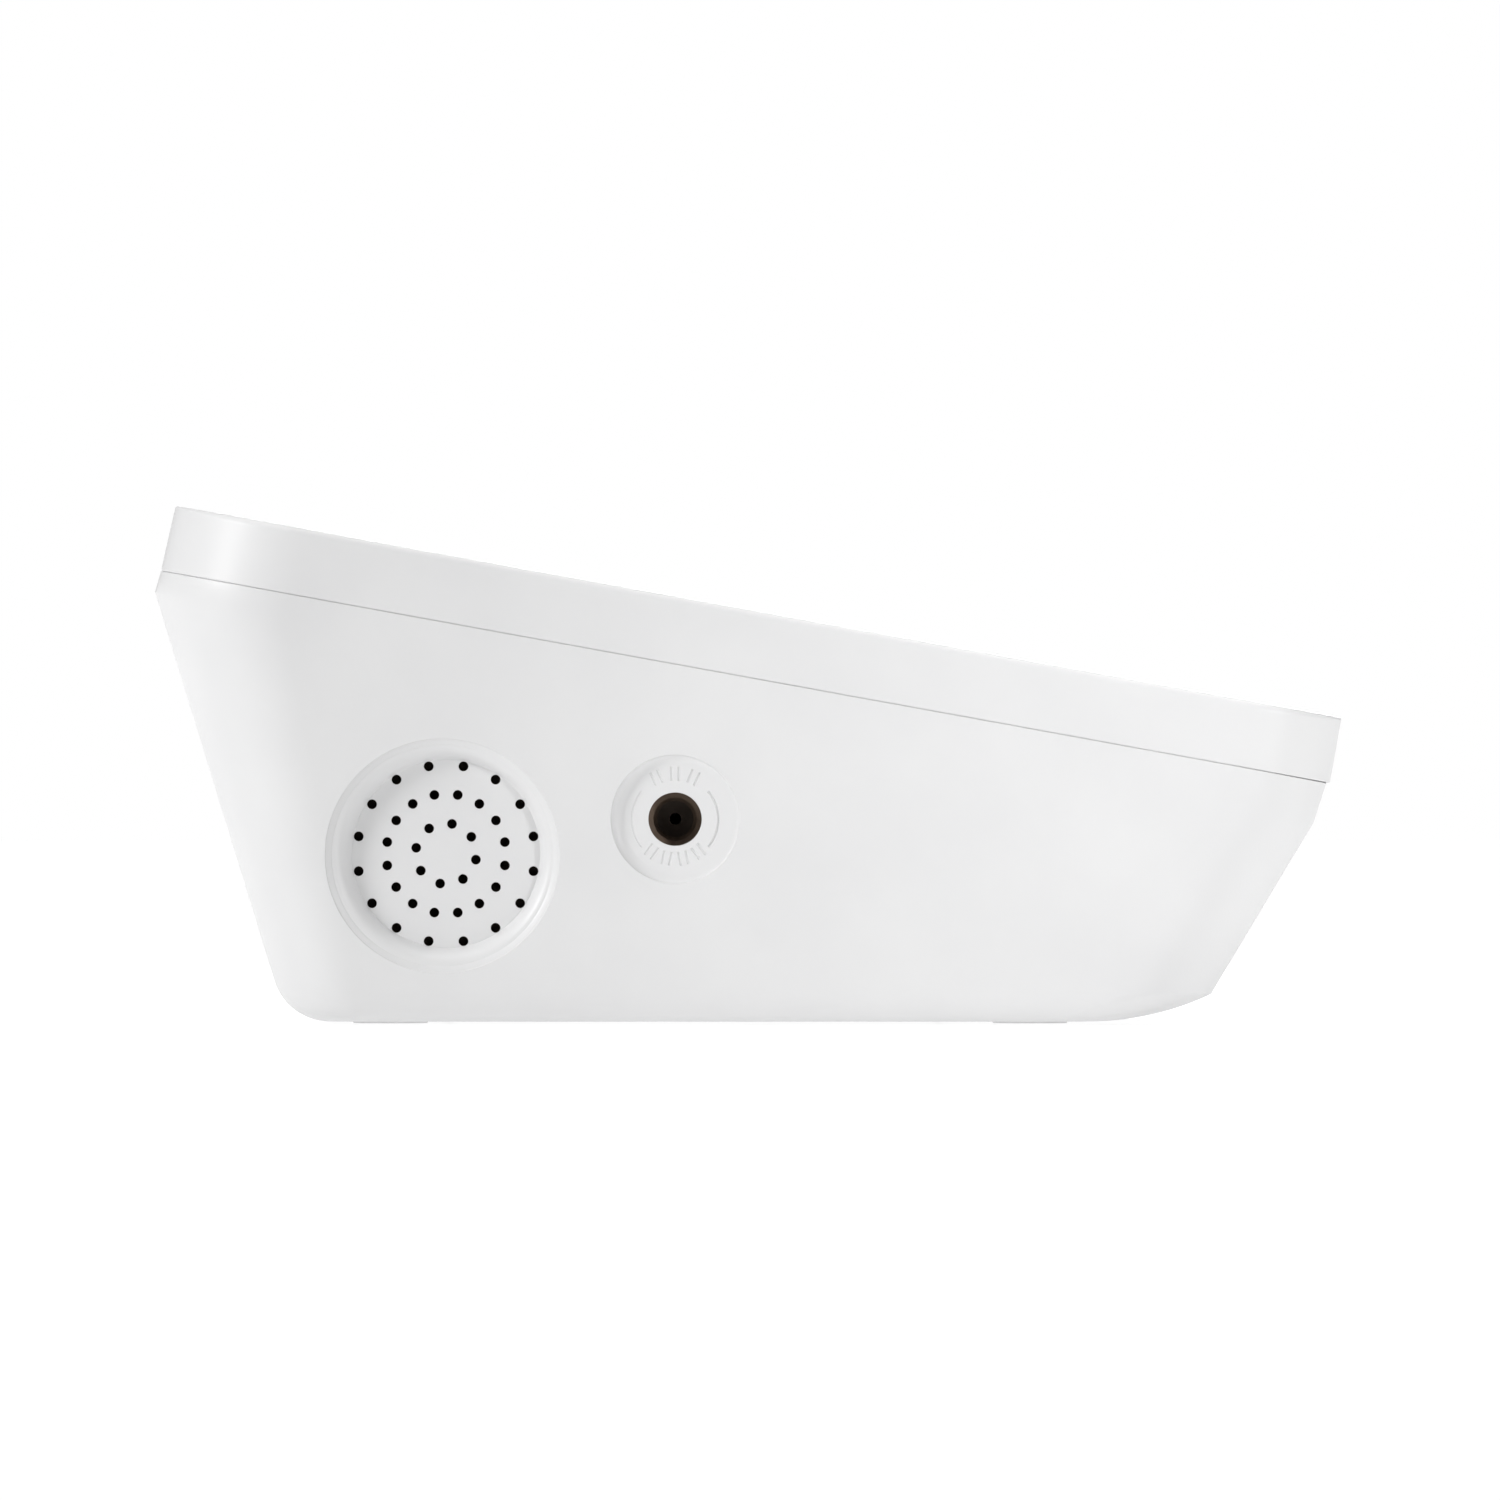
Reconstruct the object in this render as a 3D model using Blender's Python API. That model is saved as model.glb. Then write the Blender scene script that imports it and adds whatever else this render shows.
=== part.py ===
"""Desktop upper-arm blood pressure monitor, built piece by piece.

Frame: +Z up, origin on the table under the middle of the case. The low front edge faces -Y, the high back
edge +Y, and the side with the speaker and the cuff socket -X. Every constant below is in millimetres, and
the mesh builders turn millimetres into Blender's metres.
"""

import math

import bmesh
import bpy
from mathutils import Vector

MM = 0.001
GAP = 0.3

# The case, seen from its left side.
HALF_WIDTH = 53.0
DECK_SLOPE = math.radians(10.3)
DECK_FRONT_Y = -71.5
DECK_FRONT_Z = 36.8
DECK_LENGTH = 142.7
COVER_DEPTH = 8.0
BACK_DRAFT = math.radians(2.5)
WALL = 2.2
DOWN_FAR = -70.0
FOOT_PROUD = 0.25
FLOOR_Z = FOOT_PROUD + WALL
SEAM_GAP = 0.3
TONGUE_INSET = 1.25
TONGUE_HEIGHT = 1.8
CORNER_BACK = 16.0
CORNER_BACK_LOW = 8.5
CORNER_FRONT = 11.0
CORNER_STEPS = 6
TOP_EDGE_RADIUS = 0.3

# Side outline of the lower shell.
BACK_LIP = (71.4, 51.9)
BACK_LEAN = math.radians(17.2)
BACK_RADIUS = 7.0
FRONT_STEP = 0.4
FRONT_BEND = (-68.1, 24.1)
FRONT_KNEE = (-66.7, 21.8)
FRONT_FOOT = (-56.3, 4.4)
FRONT_SWEEP_RADIUS = 34.4
FRONT_SWEEP_START_Y = -41.1
FRONT_SWEEP_ANGLE = math.radians(25.3)
SIDE_RADIUS = 4.0
ROUND_STEPS = 5

# Places on the left side, as (Y, Z).
SPEAKER_AT = (36.65, 20.2)
SOCKET_AT = (8.7, 24.6)
DISH_RADIUS = 14.0
DISH_FLOOR_RADIUS = 11.3
DISH_DEPTH = 2.6
DISH_SHIFT = (0.45, 0.24)
GRILLE_THICKNESS = 1.4
GRILLE_HOLE_RADIUS = 0.6
GRILLE_RINGS = ((3.65, 8, 33.75), (7.2, 16, 11.25), (10.7, 16, 11.25))
SOCKET_RECESS_RADIUS = 7.7
SOCKET_RECESS_DEPTH = 0.8
SOCKET_BORE_RADIUS = 3.2
SOCKET_BORE_DEPTH = 15.0

# The deck: window, keys and board, in the deck's own frame (x, distance up the slope, height).
WINDOW_X = 41.0
WINDOW_FROM = 50.0
WINDOW_TO = 131.0
WINDOW_THICKNESS = 1.2
WINDOW_LEDGE = 3.0
WINDOW_CORNER = 5.0
WINDOW_GAP = 0.15
KEY_LINE = 27.0
KEY_HEIGHT = 4.2
STEM_END = -6.0
SWITCH_SIDE = 6.0
SWITCH_HEIGHT = 3.5
BOARD_TOP = -10.6
BOARD_THICKNESS = 1.6
KEYS = (("start", 0.0, 17.0, 7.0), ("memory", -32.0, 6.5, 6.5), ("set", 32.0, 6.5, 6.5))

# Battery bay and cells.
BAY_X = 30.8
BAY_FRONT = -22.0
BAY_BACK = 35.0
BAY_ROOF = 17.6
BAY_WALL = 1.8
DOOR_MARGIN = 1.2
DOOR_THICKNESS = 2.0
DOOR_TAB_X = 18.0
DOOR_TAB_HALF = 3.0
CELL_PITCH = 15.2
CELL_RADIUS = 7.1
CELL_LENGTH = 50.5
CELL_Z = 10.2
CONTACT_THICKNESS = 0.4

# Screw posts, in the deck's frame: (x, distance up the slope).
CASE_POSTS = ((-40.0, 19.0), (40.0, 19.0), (-45.5, 62.0), (45.5, 62.0))
BOARD_POSTS = ((-41.5, 40.0), (41.5, 124.0))
BOARD_POST_RADIUS = 2.6
CASE_PILOT = 1.35
BOARD_PILOT = 0.9
POST_RADIUS = 3.6
POST_END = -30.0
LOWER_POST_RADIUS = 4.6
SCREW_SEAT = 3.0
HOOK_X = 25.0
HOOK_HALF = 4.0
HOOK_NOSE_TOP = -9.4
HOOK_NOSE_BOTTOM = -10.6

# Pump, along X.
PUMP_AT = (-41.0, 15.4)
MOTOR_RADIUS = 10.0
MOTOR_FROM = 2.0
MOTOR_TO = 32.0
HEAD_FROM = -21.0
HEAD_RADIUS = 11.0
HEAD_WALL = 1.6
CRANK_THROW = 3.2

# Air system: two places in space, and the sensor's in the deck's frame.
MANIFOLD_AT = (-6.0, 5.0, 25.2)
VALVE_AT = (-42.5, -36.0, 10.5)
SENSOR_AT = (18.0, 92.0)
BARB_RADIUS = 1.3
BARB_BORE = 0.7
SOCKET_BARB_END = -22.0
HOSE_RADIUS = 2.4
HOSE_BORE = 1.7
LEAD_RADIUS = 0.8

# Feet and power inlet.
FOOT_RADIUS = 4.5
FOOT_TOP = 0.65
FOOT_PLACES = tuple((side * 38.0, y) for y in (-34.0, 43.0) for side in (-1, 1))
INLET_X = 14.0
INLET_Z = 21.0
INLET_RADIUS = 4.0


# ---------------------------------------------------------------- helpers

def clear_scene():
    for obj in list(bpy.data.objects):
        bpy.data.objects.remove(obj)


def material(name, colour, roughness, metallic=0.0):
    found = bpy.data.materials.get(name)
    if found:
        return found
    made = bpy.data.materials.new(name)
    made.use_nodes = True
    shader = made.node_tree.nodes["Principled BSDF"]
    shader.inputs["Base Color"].default_value = (*colour, 1.0)
    shader.inputs["Roughness"].default_value = roughness
    shader.inputs["Metallic"].default_value = metallic
    made.diffuse_color = (*colour, 1.0)
    return made


def object_from(name, points, faces, mat=None, parent=None):
    """A mesh object from millimetre points and index faces, with its normals turned outwards."""
    mesh = bpy.data.meshes.new(name)
    mesh.from_pydata([Vector(point) * MM for point in points], [], faces)
    shape = bmesh.new()
    shape.from_mesh(mesh)
    bmesh.ops.remove_doubles(shape, verts=shape.verts, dist=1e-6)
    bmesh.ops.recalc_face_normals(shape, faces=shape.faces)
    shape.to_mesh(mesh)
    shape.free()
    mesh.shade_smooth()
    mesh.set_sharp_from_angle(angle=math.radians(35))
    if mat:
        mesh.materials.append(mat)
    obj = bpy.data.objects.new(name, mesh)
    bpy.context.scene.collection.objects.link(obj)
    obj.parent = parent
    return obj


def empty(name, location, rotation=(0.0, 0.0, 0.0), parent=None):
    obj = bpy.data.objects.new(name, None)
    bpy.context.scene.collection.objects.link(obj)
    obj.location = Vector(location) * MM
    obj.rotation_euler = rotation
    obj.parent = parent
    return obj


def bridge(count, lower, upper):
    """Quads between two rings that start at the point numbers lower and upper."""
    return [
        (lower + i, lower + (i + 1) % count, upper + (i + 1) % count, upper + i)
        for i in range(count)
    ]


def lofted(name, rings, mat=None, parent=None, capped=True):
    """A skin over rings of equal point count, capped at both ends or closed on itself."""
    count = len(rings[0])
    points = [point for ring in rings for point in ring]
    faces = []
    for level in range(len(rings) - 1):
        faces += bridge(count, level * count, (level + 1) * count)
    last = (len(rings) - 1) * count
    if capped:
        faces.append(tuple(range(count)))
        faces.append(tuple(last + i for i in range(count)))
    else:
        faces += bridge(count, last, 0)
    return object_from(name, points, faces, mat, parent)


def circle(radius, height, sides, centre=(0.0, 0.0)):
    return [
        (
            centre[0] + radius * math.cos(math.tau * i / sides),
            centre[1] + radius * math.sin(math.tau * i / sides),
            height,
        )
        for i in range(sides)
    ]


def turned(name, profile, mat=None, parent=None, sides=24, capped=True):
    """A solid of revolution round local Z through (radius, height) points. Not capped, it is a ring."""
    rings = [circle(radius, height, sides) for radius, height in profile]
    return lofted(name, rings, mat, parent, capped)


def box(name, low, high, mat=None, parent=None):
    x, y, z = zip(low, high)
    ring = ((0, 0), (1, 0), (1, 1), (0, 1))
    rings = [[(x[i], y[j], z[k]) for i, j in ring] for k in (0, 1)]
    return lofted(name, rings, mat, parent)


def rounded_outline(half_x, y_from, y_to, front_radius, back_radius, steps=CORNER_STEPS):
    """A rectangle with round corners as (x, y) points, anticlockwise from the front left corner."""
    corners = (
        (-half_x + front_radius, y_from + front_radius, front_radius, 180),
        (half_x - front_radius, y_from + front_radius, front_radius, 270),
        (half_x - back_radius, y_to - back_radius, back_radius, 0),
        (-half_x + back_radius, y_to - back_radius, back_radius, 90),
    )
    points = []
    for centre_x, centre_y, radius, start in corners:
        for i in range(steps + 1):
            angle = math.radians(start + 90 * i / steps)
            points.append((centre_x + radius * math.cos(angle), centre_y + radius * math.sin(angle)))
    return points


def slab(name, outline, low, high, mat=None, parent=None):
    rings = [[(x, y, height) for x, y in outline] for height in (low, high)]
    return lofted(name, rings, mat, parent)


def combine(obj, other, operation):
    """A Boolean with a helper that stays hidden."""
    other.hide_render = True
    other.display_type = "WIRE"
    modifier = obj.modifiers.new(f"{operation.lower()} {other.name}", "BOOLEAN")
    modifier.operation = operation
    modifier.object = other
    modifier.solver = "EXACT"


def cut(obj, *cutters):
    for cutter in cutters:
        combine(obj, cutter, "DIFFERENCE")


def join(obj, *others):
    for other in others:
        combine(obj, other, "UNION")


def merged(name, pieces, parent=None):
    """One helper mesh holding several separate shapes, so that one Boolean takes them all."""
    shape = bmesh.new()
    for piece in pieces:
        mesh = piece.data.copy()
        mesh.transform(piece.matrix_basis)
        shape.from_mesh(mesh)
        bpy.data.objects.remove(piece)
    mesh = bpy.data.meshes.new(name)
    shape.to_mesh(mesh)
    shape.free()
    obj = bpy.data.objects.new(name, mesh)
    bpy.context.scene.collection.objects.link(obj)
    obj.parent = parent
    return obj


def placed(obj, location, rotation=(0.0, 0.0, 0.0)):
    obj.location = Vector(location) * MM
    obj.rotation_euler = rotation
    return obj


def smooth_path(route, per_span=3):
    """Points on a Catmull-Rom curve through the route's own points."""
    ends = [Vector(route[0])] + [Vector(point) for point in route] + [Vector(route[-1])]
    points = []
    for a, b, c, d in zip(ends, ends[1:], ends[2:], ends[3:]):
        for i in range(per_span):
            t = i / per_span
            points.append(
                0.5 * (2 * b + (c - a) * t + (2 * a - 5 * b + 4 * c - d) * t**2
                       + (3 * b - a - 3 * c + d) * t**3)
            )
    points.append(Vector(route[-1]))
    return points


def rings_along(path, radius, sides):
    """Rings square to a path, turned as little as possible from one to the next."""
    rings = []
    side = None
    for i, point in enumerate(path):
        ahead = (path[min(i + 1, len(path) - 1)] - path[max(i - 1, 0)]).normalized()
        if side is None:
            side = ahead.orthogonal().normalized()
        side = (side - ahead * side.dot(ahead)).normalized()
        other = ahead.cross(side)
        rings.append([
            tuple(point + radius * (math.cos(a) * side + math.sin(a) * other))
            for a in (math.tau * j / sides for j in range(sides))
        ])
    return rings


def hose(name, route, radius, bore, mat, sides=7):
    """A hollow tube, open at both ends."""
    path = smooth_path(route)
    outer = rings_along(path, radius, sides)
    inner = rings_along(path, bore, sides)
    return lofted(name, outer + inner[::-1], mat, capped=False)


def lead(name, route, radius, mat, sides=6):
    return lofted(name, rings_along(smooth_path(route), radius, sides), mat)


# ---------------------------------------------------------------- case

def offset_line(line, distance):
    """A (y, z) line moved to its left by a distance, with mitred bends."""
    moved = []
    for i, (y, z) in enumerate(line):
        normals = []
        for j in (i - 1, i):
            if 0 <= j < len(line) - 1:
                run = Vector((line[j + 1][0] - line[j][0], line[j + 1][1] - line[j][1])).normalized()
                normals.append(Vector((-run.y, run.x)))
        mean = sum(normals, Vector((0.0, 0.0))).normalized()
        scale = distance / mean.dot(normals[0])
        moved.append((y + mean.x * scale, z + mean.y * scale))
    return moved


def deck_point(x, along, height):
    """World place of a point given in the deck's frame."""
    y = DECK_FRONT_Y + along * math.cos(DECK_SLOPE) - height * math.sin(DECK_SLOPE)
    z = DECK_FRONT_Z + along * math.sin(DECK_SLOPE) + height * math.cos(DECK_SLOPE)
    return x, y, z


def seam_ends(inset=0.0):
    """The (y, z) ends of the seam on the centre line, moved towards each other by an inset."""
    back = DECK_LENGTH + COVER_DEPTH * math.tan(BACK_DRAFT)
    front_point = deck_point(0.0, FRONT_STEP + inset, -COVER_DEPTH)
    back_point = deck_point(0.0, back - inset, -COVER_DEPTH)
    return front_point[1:], back_point[1:]


def back_line():
    """The back edge of the side outline, from the flat bottom to the seam."""
    centre_z = FOOT_PROUD + BACK_RADIUS
    wall_y = BACK_LIP[0] - (BACK_LIP[1] - centre_z) * math.tan(BACK_LEAN)
    centre_y = wall_y - BACK_RADIUS / math.cos(BACK_LEAN)
    turn = math.pi / 2 - BACK_LEAN
    line = []
    for i in range(ROUND_STEPS + 1):
        angle = turn * i / ROUND_STEPS
        line.append((centre_y + BACK_RADIUS * math.sin(angle), centre_z - BACK_RADIUS * math.cos(angle)))
    start = Vector(line[-1])
    lip = Vector(BACK_LIP)
    line += [tuple(start.lerp(lip, share)) for share in (0.04, 0.71, 0.82)]
    return line + [BACK_LIP, seam_ends()[1]]


def front_line():
    """The front edge of the side outline, point for point beside back_line."""
    centre_z = FOOT_PROUD + FRONT_SWEEP_RADIUS
    line = []
    for i in range(ROUND_STEPS + 1):
        angle = FRONT_SWEEP_ANGLE * i / ROUND_STEPS
        line.append((
            FRONT_SWEEP_START_Y - FRONT_SWEEP_RADIUS * math.sin(angle),
            centre_z - FRONT_SWEEP_RADIUS * math.cos(angle),
        ))
    bend = Vector(FRONT_BEND)
    seam = seam_ends()[0]
    lip = tuple(bend.lerp(Vector(seam), 0.55))
    return line + [FRONT_FOOT, FRONT_KNEE, FRONT_BEND, lip, seam]


def section(front, back, shrink):
    """A ring round the case in the plane through a front and a back point, narrowed by shrink on each side.

    The back corners are rounder at the top than at the bottom."""
    length = math.hypot(back[0] - front[0], back[1] - front[1])
    rise = min(max(back[1] / BACK_LIP[1], 0.0), 1.0)
    back_radius = CORNER_BACK_LOW + (CORNER_BACK - CORNER_BACK_LOW) * rise
    outline = rounded_outline(
        HALF_WIDTH - shrink,
        0.0,
        length,
        max(CORNER_FRONT - shrink, 2.0),
        max(back_radius - shrink, 2.0),
    )
    ring = []
    for x, along in outline:
        share = along / length
        ring.append((x, front[0] + (back[0] - front[0]) * share, front[1] + (back[1] - front[1]) * share))
    return ring


def shell_rings(inset):
    front = offset_line(front_line(), -inset)
    back = offset_line(back_line(), inset)
    rings = []
    for i, (front_point, back_point) in enumerate(zip(front, back)):
        turn = math.pi / 2 * min(i, ROUND_STEPS) / ROUND_STEPS
        level_inset = (SIDE_RADIUS - min(inset, WALL)) * (1 - math.sin(turn))
        rings.append(section(front_point, back_point, inset + level_inset))
    return rings


def raised(ring, height):
    """A ring moved square to the deck."""
    return [(x, y - height * math.sin(DECK_SLOPE), z + height * math.cos(DECK_SLOPE)) for x, y, z in ring]


def seat_on_left_wall(name, place, parent=None):
    """An empty on the left wall: its Z points out of the case, its Y up and its X to the front."""
    seat = empty(name, (-HALF_WIDTH, place[0], place[1]), parent=parent)
    seat.rotation_euler = (math.pi / 2, 0.0, -math.pi / 2)
    return seat


def at_each(places, profile, sides):
    """The same turned shape at every place in a list."""
    return [placed(turned("copy", profile, sides=sides), (x, along, 0.0)) for x, along in places]


def grille_holes(seat):
    holes = []
    for radius, count, start in GRILLE_RINGS:
        for i in range(count):
            angle = math.radians(start) + math.tau * i / count
            hole = turned("hole", ((GRILLE_HOLE_RADIUS, 1.0), (GRILLE_HOLE_RADIUS, -8.0)), sides=8)
            x = DISH_SHIFT[0] + radius * math.cos(angle)
            y = DISH_SHIFT[1] + radius * math.sin(angle)
            holes.append(placed(hole, (x, y, 0.0)))
    return merged("grille_hole_cutter", holes, seat)


def dish_cutter(seat):
    """The speaker's dish: a rim that curves in to a flat floor, set slightly off centre."""
    levels = ((DISH_RADIUS, 1.0, 0.0), (DISH_RADIUS, -0.25, 0.0), (13.2, -1.2, 0.3),
              (12.2, -2.1, 0.7), (DISH_FLOOR_RADIUS, -DISH_DEPTH, 1.0))
    rings = [
        circle(radius, height, 40, (DISH_SHIFT[0] * share, DISH_SHIFT[1] * share))
        for radius, height, share in levels
    ]
    return lofted("dish_cutter", rings, parent=seat)


def bay_block():
    outer_x = BAY_X + BAY_WALL + DOOR_MARGIN
    front = BAY_FRONT - BAY_WALL - DOOR_MARGIN
    back = BAY_BACK + BAY_WALL + DOOR_MARGIN
    return box("bay_block", (-outer_x, front, 1.0), (outer_x, back, BAY_ROOF + BAY_WALL))


def bay_cutters():
    """The bay, the door's opening, the slots for its tabs and the notch for a fingertip."""
    bay = box("bay_cutter", (-BAY_X, BAY_FRONT, -1.0), (BAY_X, BAY_BACK, BAY_ROOF))
    opening = box(
        "door_opening_cutter",
        (-BAY_X - DOOR_MARGIN, BAY_FRONT - DOOR_MARGIN, -1.0),
        (BAY_X + DOOR_MARGIN, BAY_BACK + DOOR_MARGIN, FOOT_PROUD + DOOR_THICKNESS + GAP),
    )
    half = DOOR_TAB_HALF + 0.5
    slots = [
        box("slot", (x - half, BAY_FRONT - 5.0, FLOOR_Z), (x + half, BAY_FRONT + 1.0, FLOOR_Z + 2.3))
        for x in (-DOOR_TAB_X, DOOR_TAB_X)
    ]
    notch = placed(
        turned("notch", ((7.0, 8.0), (7.0, -8.0)), sides=20),
        (0.0, BAY_BACK + DOOR_MARGIN + 1.5, FOOT_PROUD - 5.6),
        (0.0, math.pi / 2, 0.0),
    )
    return bay, opening, merged("tab_slot_cutter", slots), notch


def lower_shell(plastic, deck):
    outer = shell_rings(0.0)
    inner = shell_rings(WALL)
    top = section(*seam_ends(), 0.0)
    tongue = section(*seam_ends(TONGUE_INSET), TONGUE_INSET)
    inner_top = section(*seam_ends(WALL), WALL)
    drop = -SEAM_GAP / 2
    outer[-1] = raised(top, drop)
    rings = outer + [raised(tongue, drop), raised(tongue, TONGUE_HEIGHT), raised(inner_top, TONGUE_HEIGHT)]
    rings += inner[::-1]
    shell = lofted("lower_shell", rings, plastic)

    speaker = seat_on_left_wall("speaker_seat", SPEAKER_AT)
    socket = seat_on_left_wall("socket_seat", SOCKET_AT)
    backing_radius = DISH_RADIUS + 2.0
    backing = turned(
        "dish_backing",
        ((backing_radius, -1.0), (backing_radius, -DISH_DEPTH - GRILLE_THICKNESS)),
        parent=speaker,
        sides=32,
    )
    post = ((LOWER_POST_RADIUS, POST_END - GAP), (LOWER_POST_RADIUS, DOWN_FAR))
    posts = merged("lower_posts", at_each(CASE_POSTS, post, 16), deck)
    join(shell, backing, bay_block())
    join(shell, trimmed_posts(posts))
    cut(shell, *bay_cutters())
    cut(shell, dish_cutter(speaker), grille_holes(speaker))
    recess = turned(
        "recess_cutter",
        ((SOCKET_RECESS_RADIUS, 1.0), (SOCKET_RECESS_RADIUS, -SOCKET_RECESS_DEPTH)),
        parent=socket,
        sides=40,
    )
    bore_profile = ((SOCKET_BORE_RADIUS, 1.0), (SOCKET_BORE_RADIUS, -9.0))
    bore = turned("socket_bore_cutter", bore_profile, parent=socket)
    cut(shell, recess, bore)
    cut(shell, screw_cutters(deck), foot_cutters(), inlet_cutter(), hook_pockets(deck))
    return speaker, socket


def hook_pockets(deck):
    """Pockets in the back wall for the noses of the cover's two hooks."""
    half = HOOK_HALF + GAP
    low = HOOK_NOSE_BOTTOM - GAP
    high = HOOK_NOSE_TOP + GAP
    pockets = [
        box("pocket", (x - half, DECK_LENGTH - 3.7, low), (x + half, DECK_LENGTH - 0.9, high))
        for x in (-HOOK_X, HOOK_X)
    ]
    return merged("hook_pocket_cutter", pockets, deck)


def trimmed_posts(posts):
    """The screw posts, cut off inside the case's outer skin."""
    body = lofted("post_trim", shell_rings(0.6))
    combine(posts, body, "INTERSECT")
    return posts


def screw_cutters(deck):
    """Each case screw's clearance hole, and the well below it for the head and the driver."""
    shank, well = 1.7, 3.1
    seat = POST_END - SCREW_SEAT
    profile = ((shank, POST_END + 2.0), (shank, seat), (well, seat), (well, DOWN_FAR))
    return merged("screw_hole_cutter", at_each(CASE_POSTS, profile, 16), deck)


def foot_cutters():
    radius = FOOT_RADIUS + GAP
    return merged("foot_cutter", at_each(FOOT_PLACES, ((radius, FOOT_TOP + GAP), (radius, -1.0)), 20))


def inlet_seat():
    """The power inlet's empty: Z points out of the back wall."""
    at_y = BACK_LIP[0] - (BACK_LIP[1] - INLET_Z) * math.tan(BACK_LEAN)
    return empty("inlet_seat", (INLET_X, at_y, INLET_Z), (math.pi / 2 + BACK_LEAN, 0.0, math.pi))


def inlet_cutter():
    radius = INLET_RADIUS + GAP
    return turned("inlet_cutter", ((radius, 1.0), (radius, -6.0)), parent=inlet_seat(), sides=20)


def upper_cover(plastic, deck):
    """The top cover in the deck's frame: a shallow tray upside down, rabbeted over the shell's tongue."""
    def ring(inset, height):
        back = DECK_LENGTH - height * math.tan(BACK_DRAFT)
        outline = rounded_outline(
            HALF_WIDTH - inset, inset, back - inset,
            max(CORNER_FRONT - inset, 1.5), max(CORNER_BACK - inset, 1.5),
        )
        return [(x, y, height) for x, y in outline]

    seam = -COVER_DEPTH + SEAM_GAP / 2
    levels = [(0.0, seam)]
    for i in range(4):
        turn = math.pi / 2 * i / 3
        levels.append((TOP_EDGE_RADIUS * (1 - math.cos(turn)), -TOP_EDGE_RADIUS * (1 - math.sin(turn))))
    rabbet = TONGUE_INSET - GAP
    rabbet_top = seam + TONGUE_HEIGHT + 2 * GAP
    inside = [(WALL, -WALL), (WALL, rabbet_top), (rabbet, rabbet_top), (rabbet, seam)]
    cover = lofted("upper_cover", [ring(*level) for level in inside + levels], plastic, deck)

    add_cover_posts(cover, deck)
    add_cover_hooks(cover, deck)
    cut_window_and_keys(cover, deck)


def add_cover_posts(cover, deck):
    """The posts for the case screws and for the board, each with its pilot hole."""
    case_post = ((POST_RADIUS, -1.0), (POST_RADIUS, POST_END))
    board_post = ((BOARD_POST_RADIUS, -1.0), (BOARD_POST_RADIUS, BOARD_TOP + GAP))
    posts = at_each(CASE_POSTS, case_post, 16) + at_each(BOARD_POSTS, board_post, 12)
    join(cover, merged("cover_posts", posts, deck))
    case_hole = ((CASE_PILOT, POST_END + 9.0), (CASE_PILOT, POST_END - 1.0))
    board_hole = ((BOARD_PILOT, BOARD_TOP + 6.0), (BOARD_PILOT, BOARD_TOP - 1.0))
    holes = at_each(CASE_POSTS, case_hole, 12) + at_each(BOARD_POSTS, board_hole, 10)
    cut(cover, merged("pilot_cutter", holes, deck))


def add_cover_hooks(cover, deck):
    """Two arms that reach down inside the back wall, each with a nose for the wall's pocket."""
    arms = []
    noses = []
    for x in (-HOOK_X, HOOK_X):
        left, right = x - HOOK_HALF, x + HOOK_HALF
        arm_low = (left, DECK_LENGTH - 4.6, HOOK_NOSE_BOTTOM)
        nose_low = (left, DECK_LENGTH - 3.4, HOOK_NOSE_BOTTOM)
        arms.append(box("arm", arm_low, (right, DECK_LENGTH - 3.0, -1.0)))
        noses.append(box("nose", nose_low, (right, DECK_LENGTH - 1.5, HOOK_NOSE_TOP)))
    join(cover, merged("hook_arms", arms, deck), merged("hook_noses", noses, deck))


def cut_window_and_keys(cover, deck):
    recess = rounded_outline(WINDOW_X, WINDOW_FROM, WINDOW_TO, WINDOW_CORNER, WINDOW_CORNER, 4)
    near = WINDOW_FROM + WINDOW_LEDGE
    far = WINDOW_TO - WINDOW_LEDGE
    corner = WINDOW_CORNER - WINDOW_LEDGE
    opening = rounded_outline(WINDOW_X - WINDOW_LEDGE, near, far, corner, corner, 4)
    cut(cover, slab("window_recess_cutter", recess, -WINDOW_THICKNESS - 0.1, 1.0, parent=deck))
    cut(cover, slab("window_cutter", opening, -5.0, 1.0, parent=deck))
    openings = []
    for _, x, half_x, half_y in KEYS:
        outline_points = key_outline(half_x + GAP, half_y + GAP)
        openings.append(placed(slab("opening", outline_points, -5.0, 1.0), (x, KEY_LINE, 0.0)))
    cut(cover, merged("key_cutter", openings, deck))


def key_outline(half_x, half_y):
    return rounded_outline(half_x, -half_y, half_y, half_y - 0.01, half_y - 0.01, 6)


# ---------------------------------------------------------------- pieces on the deck

def display_window(deck):
    smoked = material("smoked_acrylic", (0.02, 0.022, 0.025), 0.08)
    near = WINDOW_FROM + WINDOW_GAP
    far = WINDOW_TO - WINDOW_GAP
    corner = WINDOW_CORNER - WINDOW_GAP
    outline = rounded_outline(WINDOW_X - WINDOW_GAP, near, far, corner, corner, 4)
    slab("display_window", outline, -WINDOW_THICKNESS, -0.05, smoked, deck)


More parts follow.
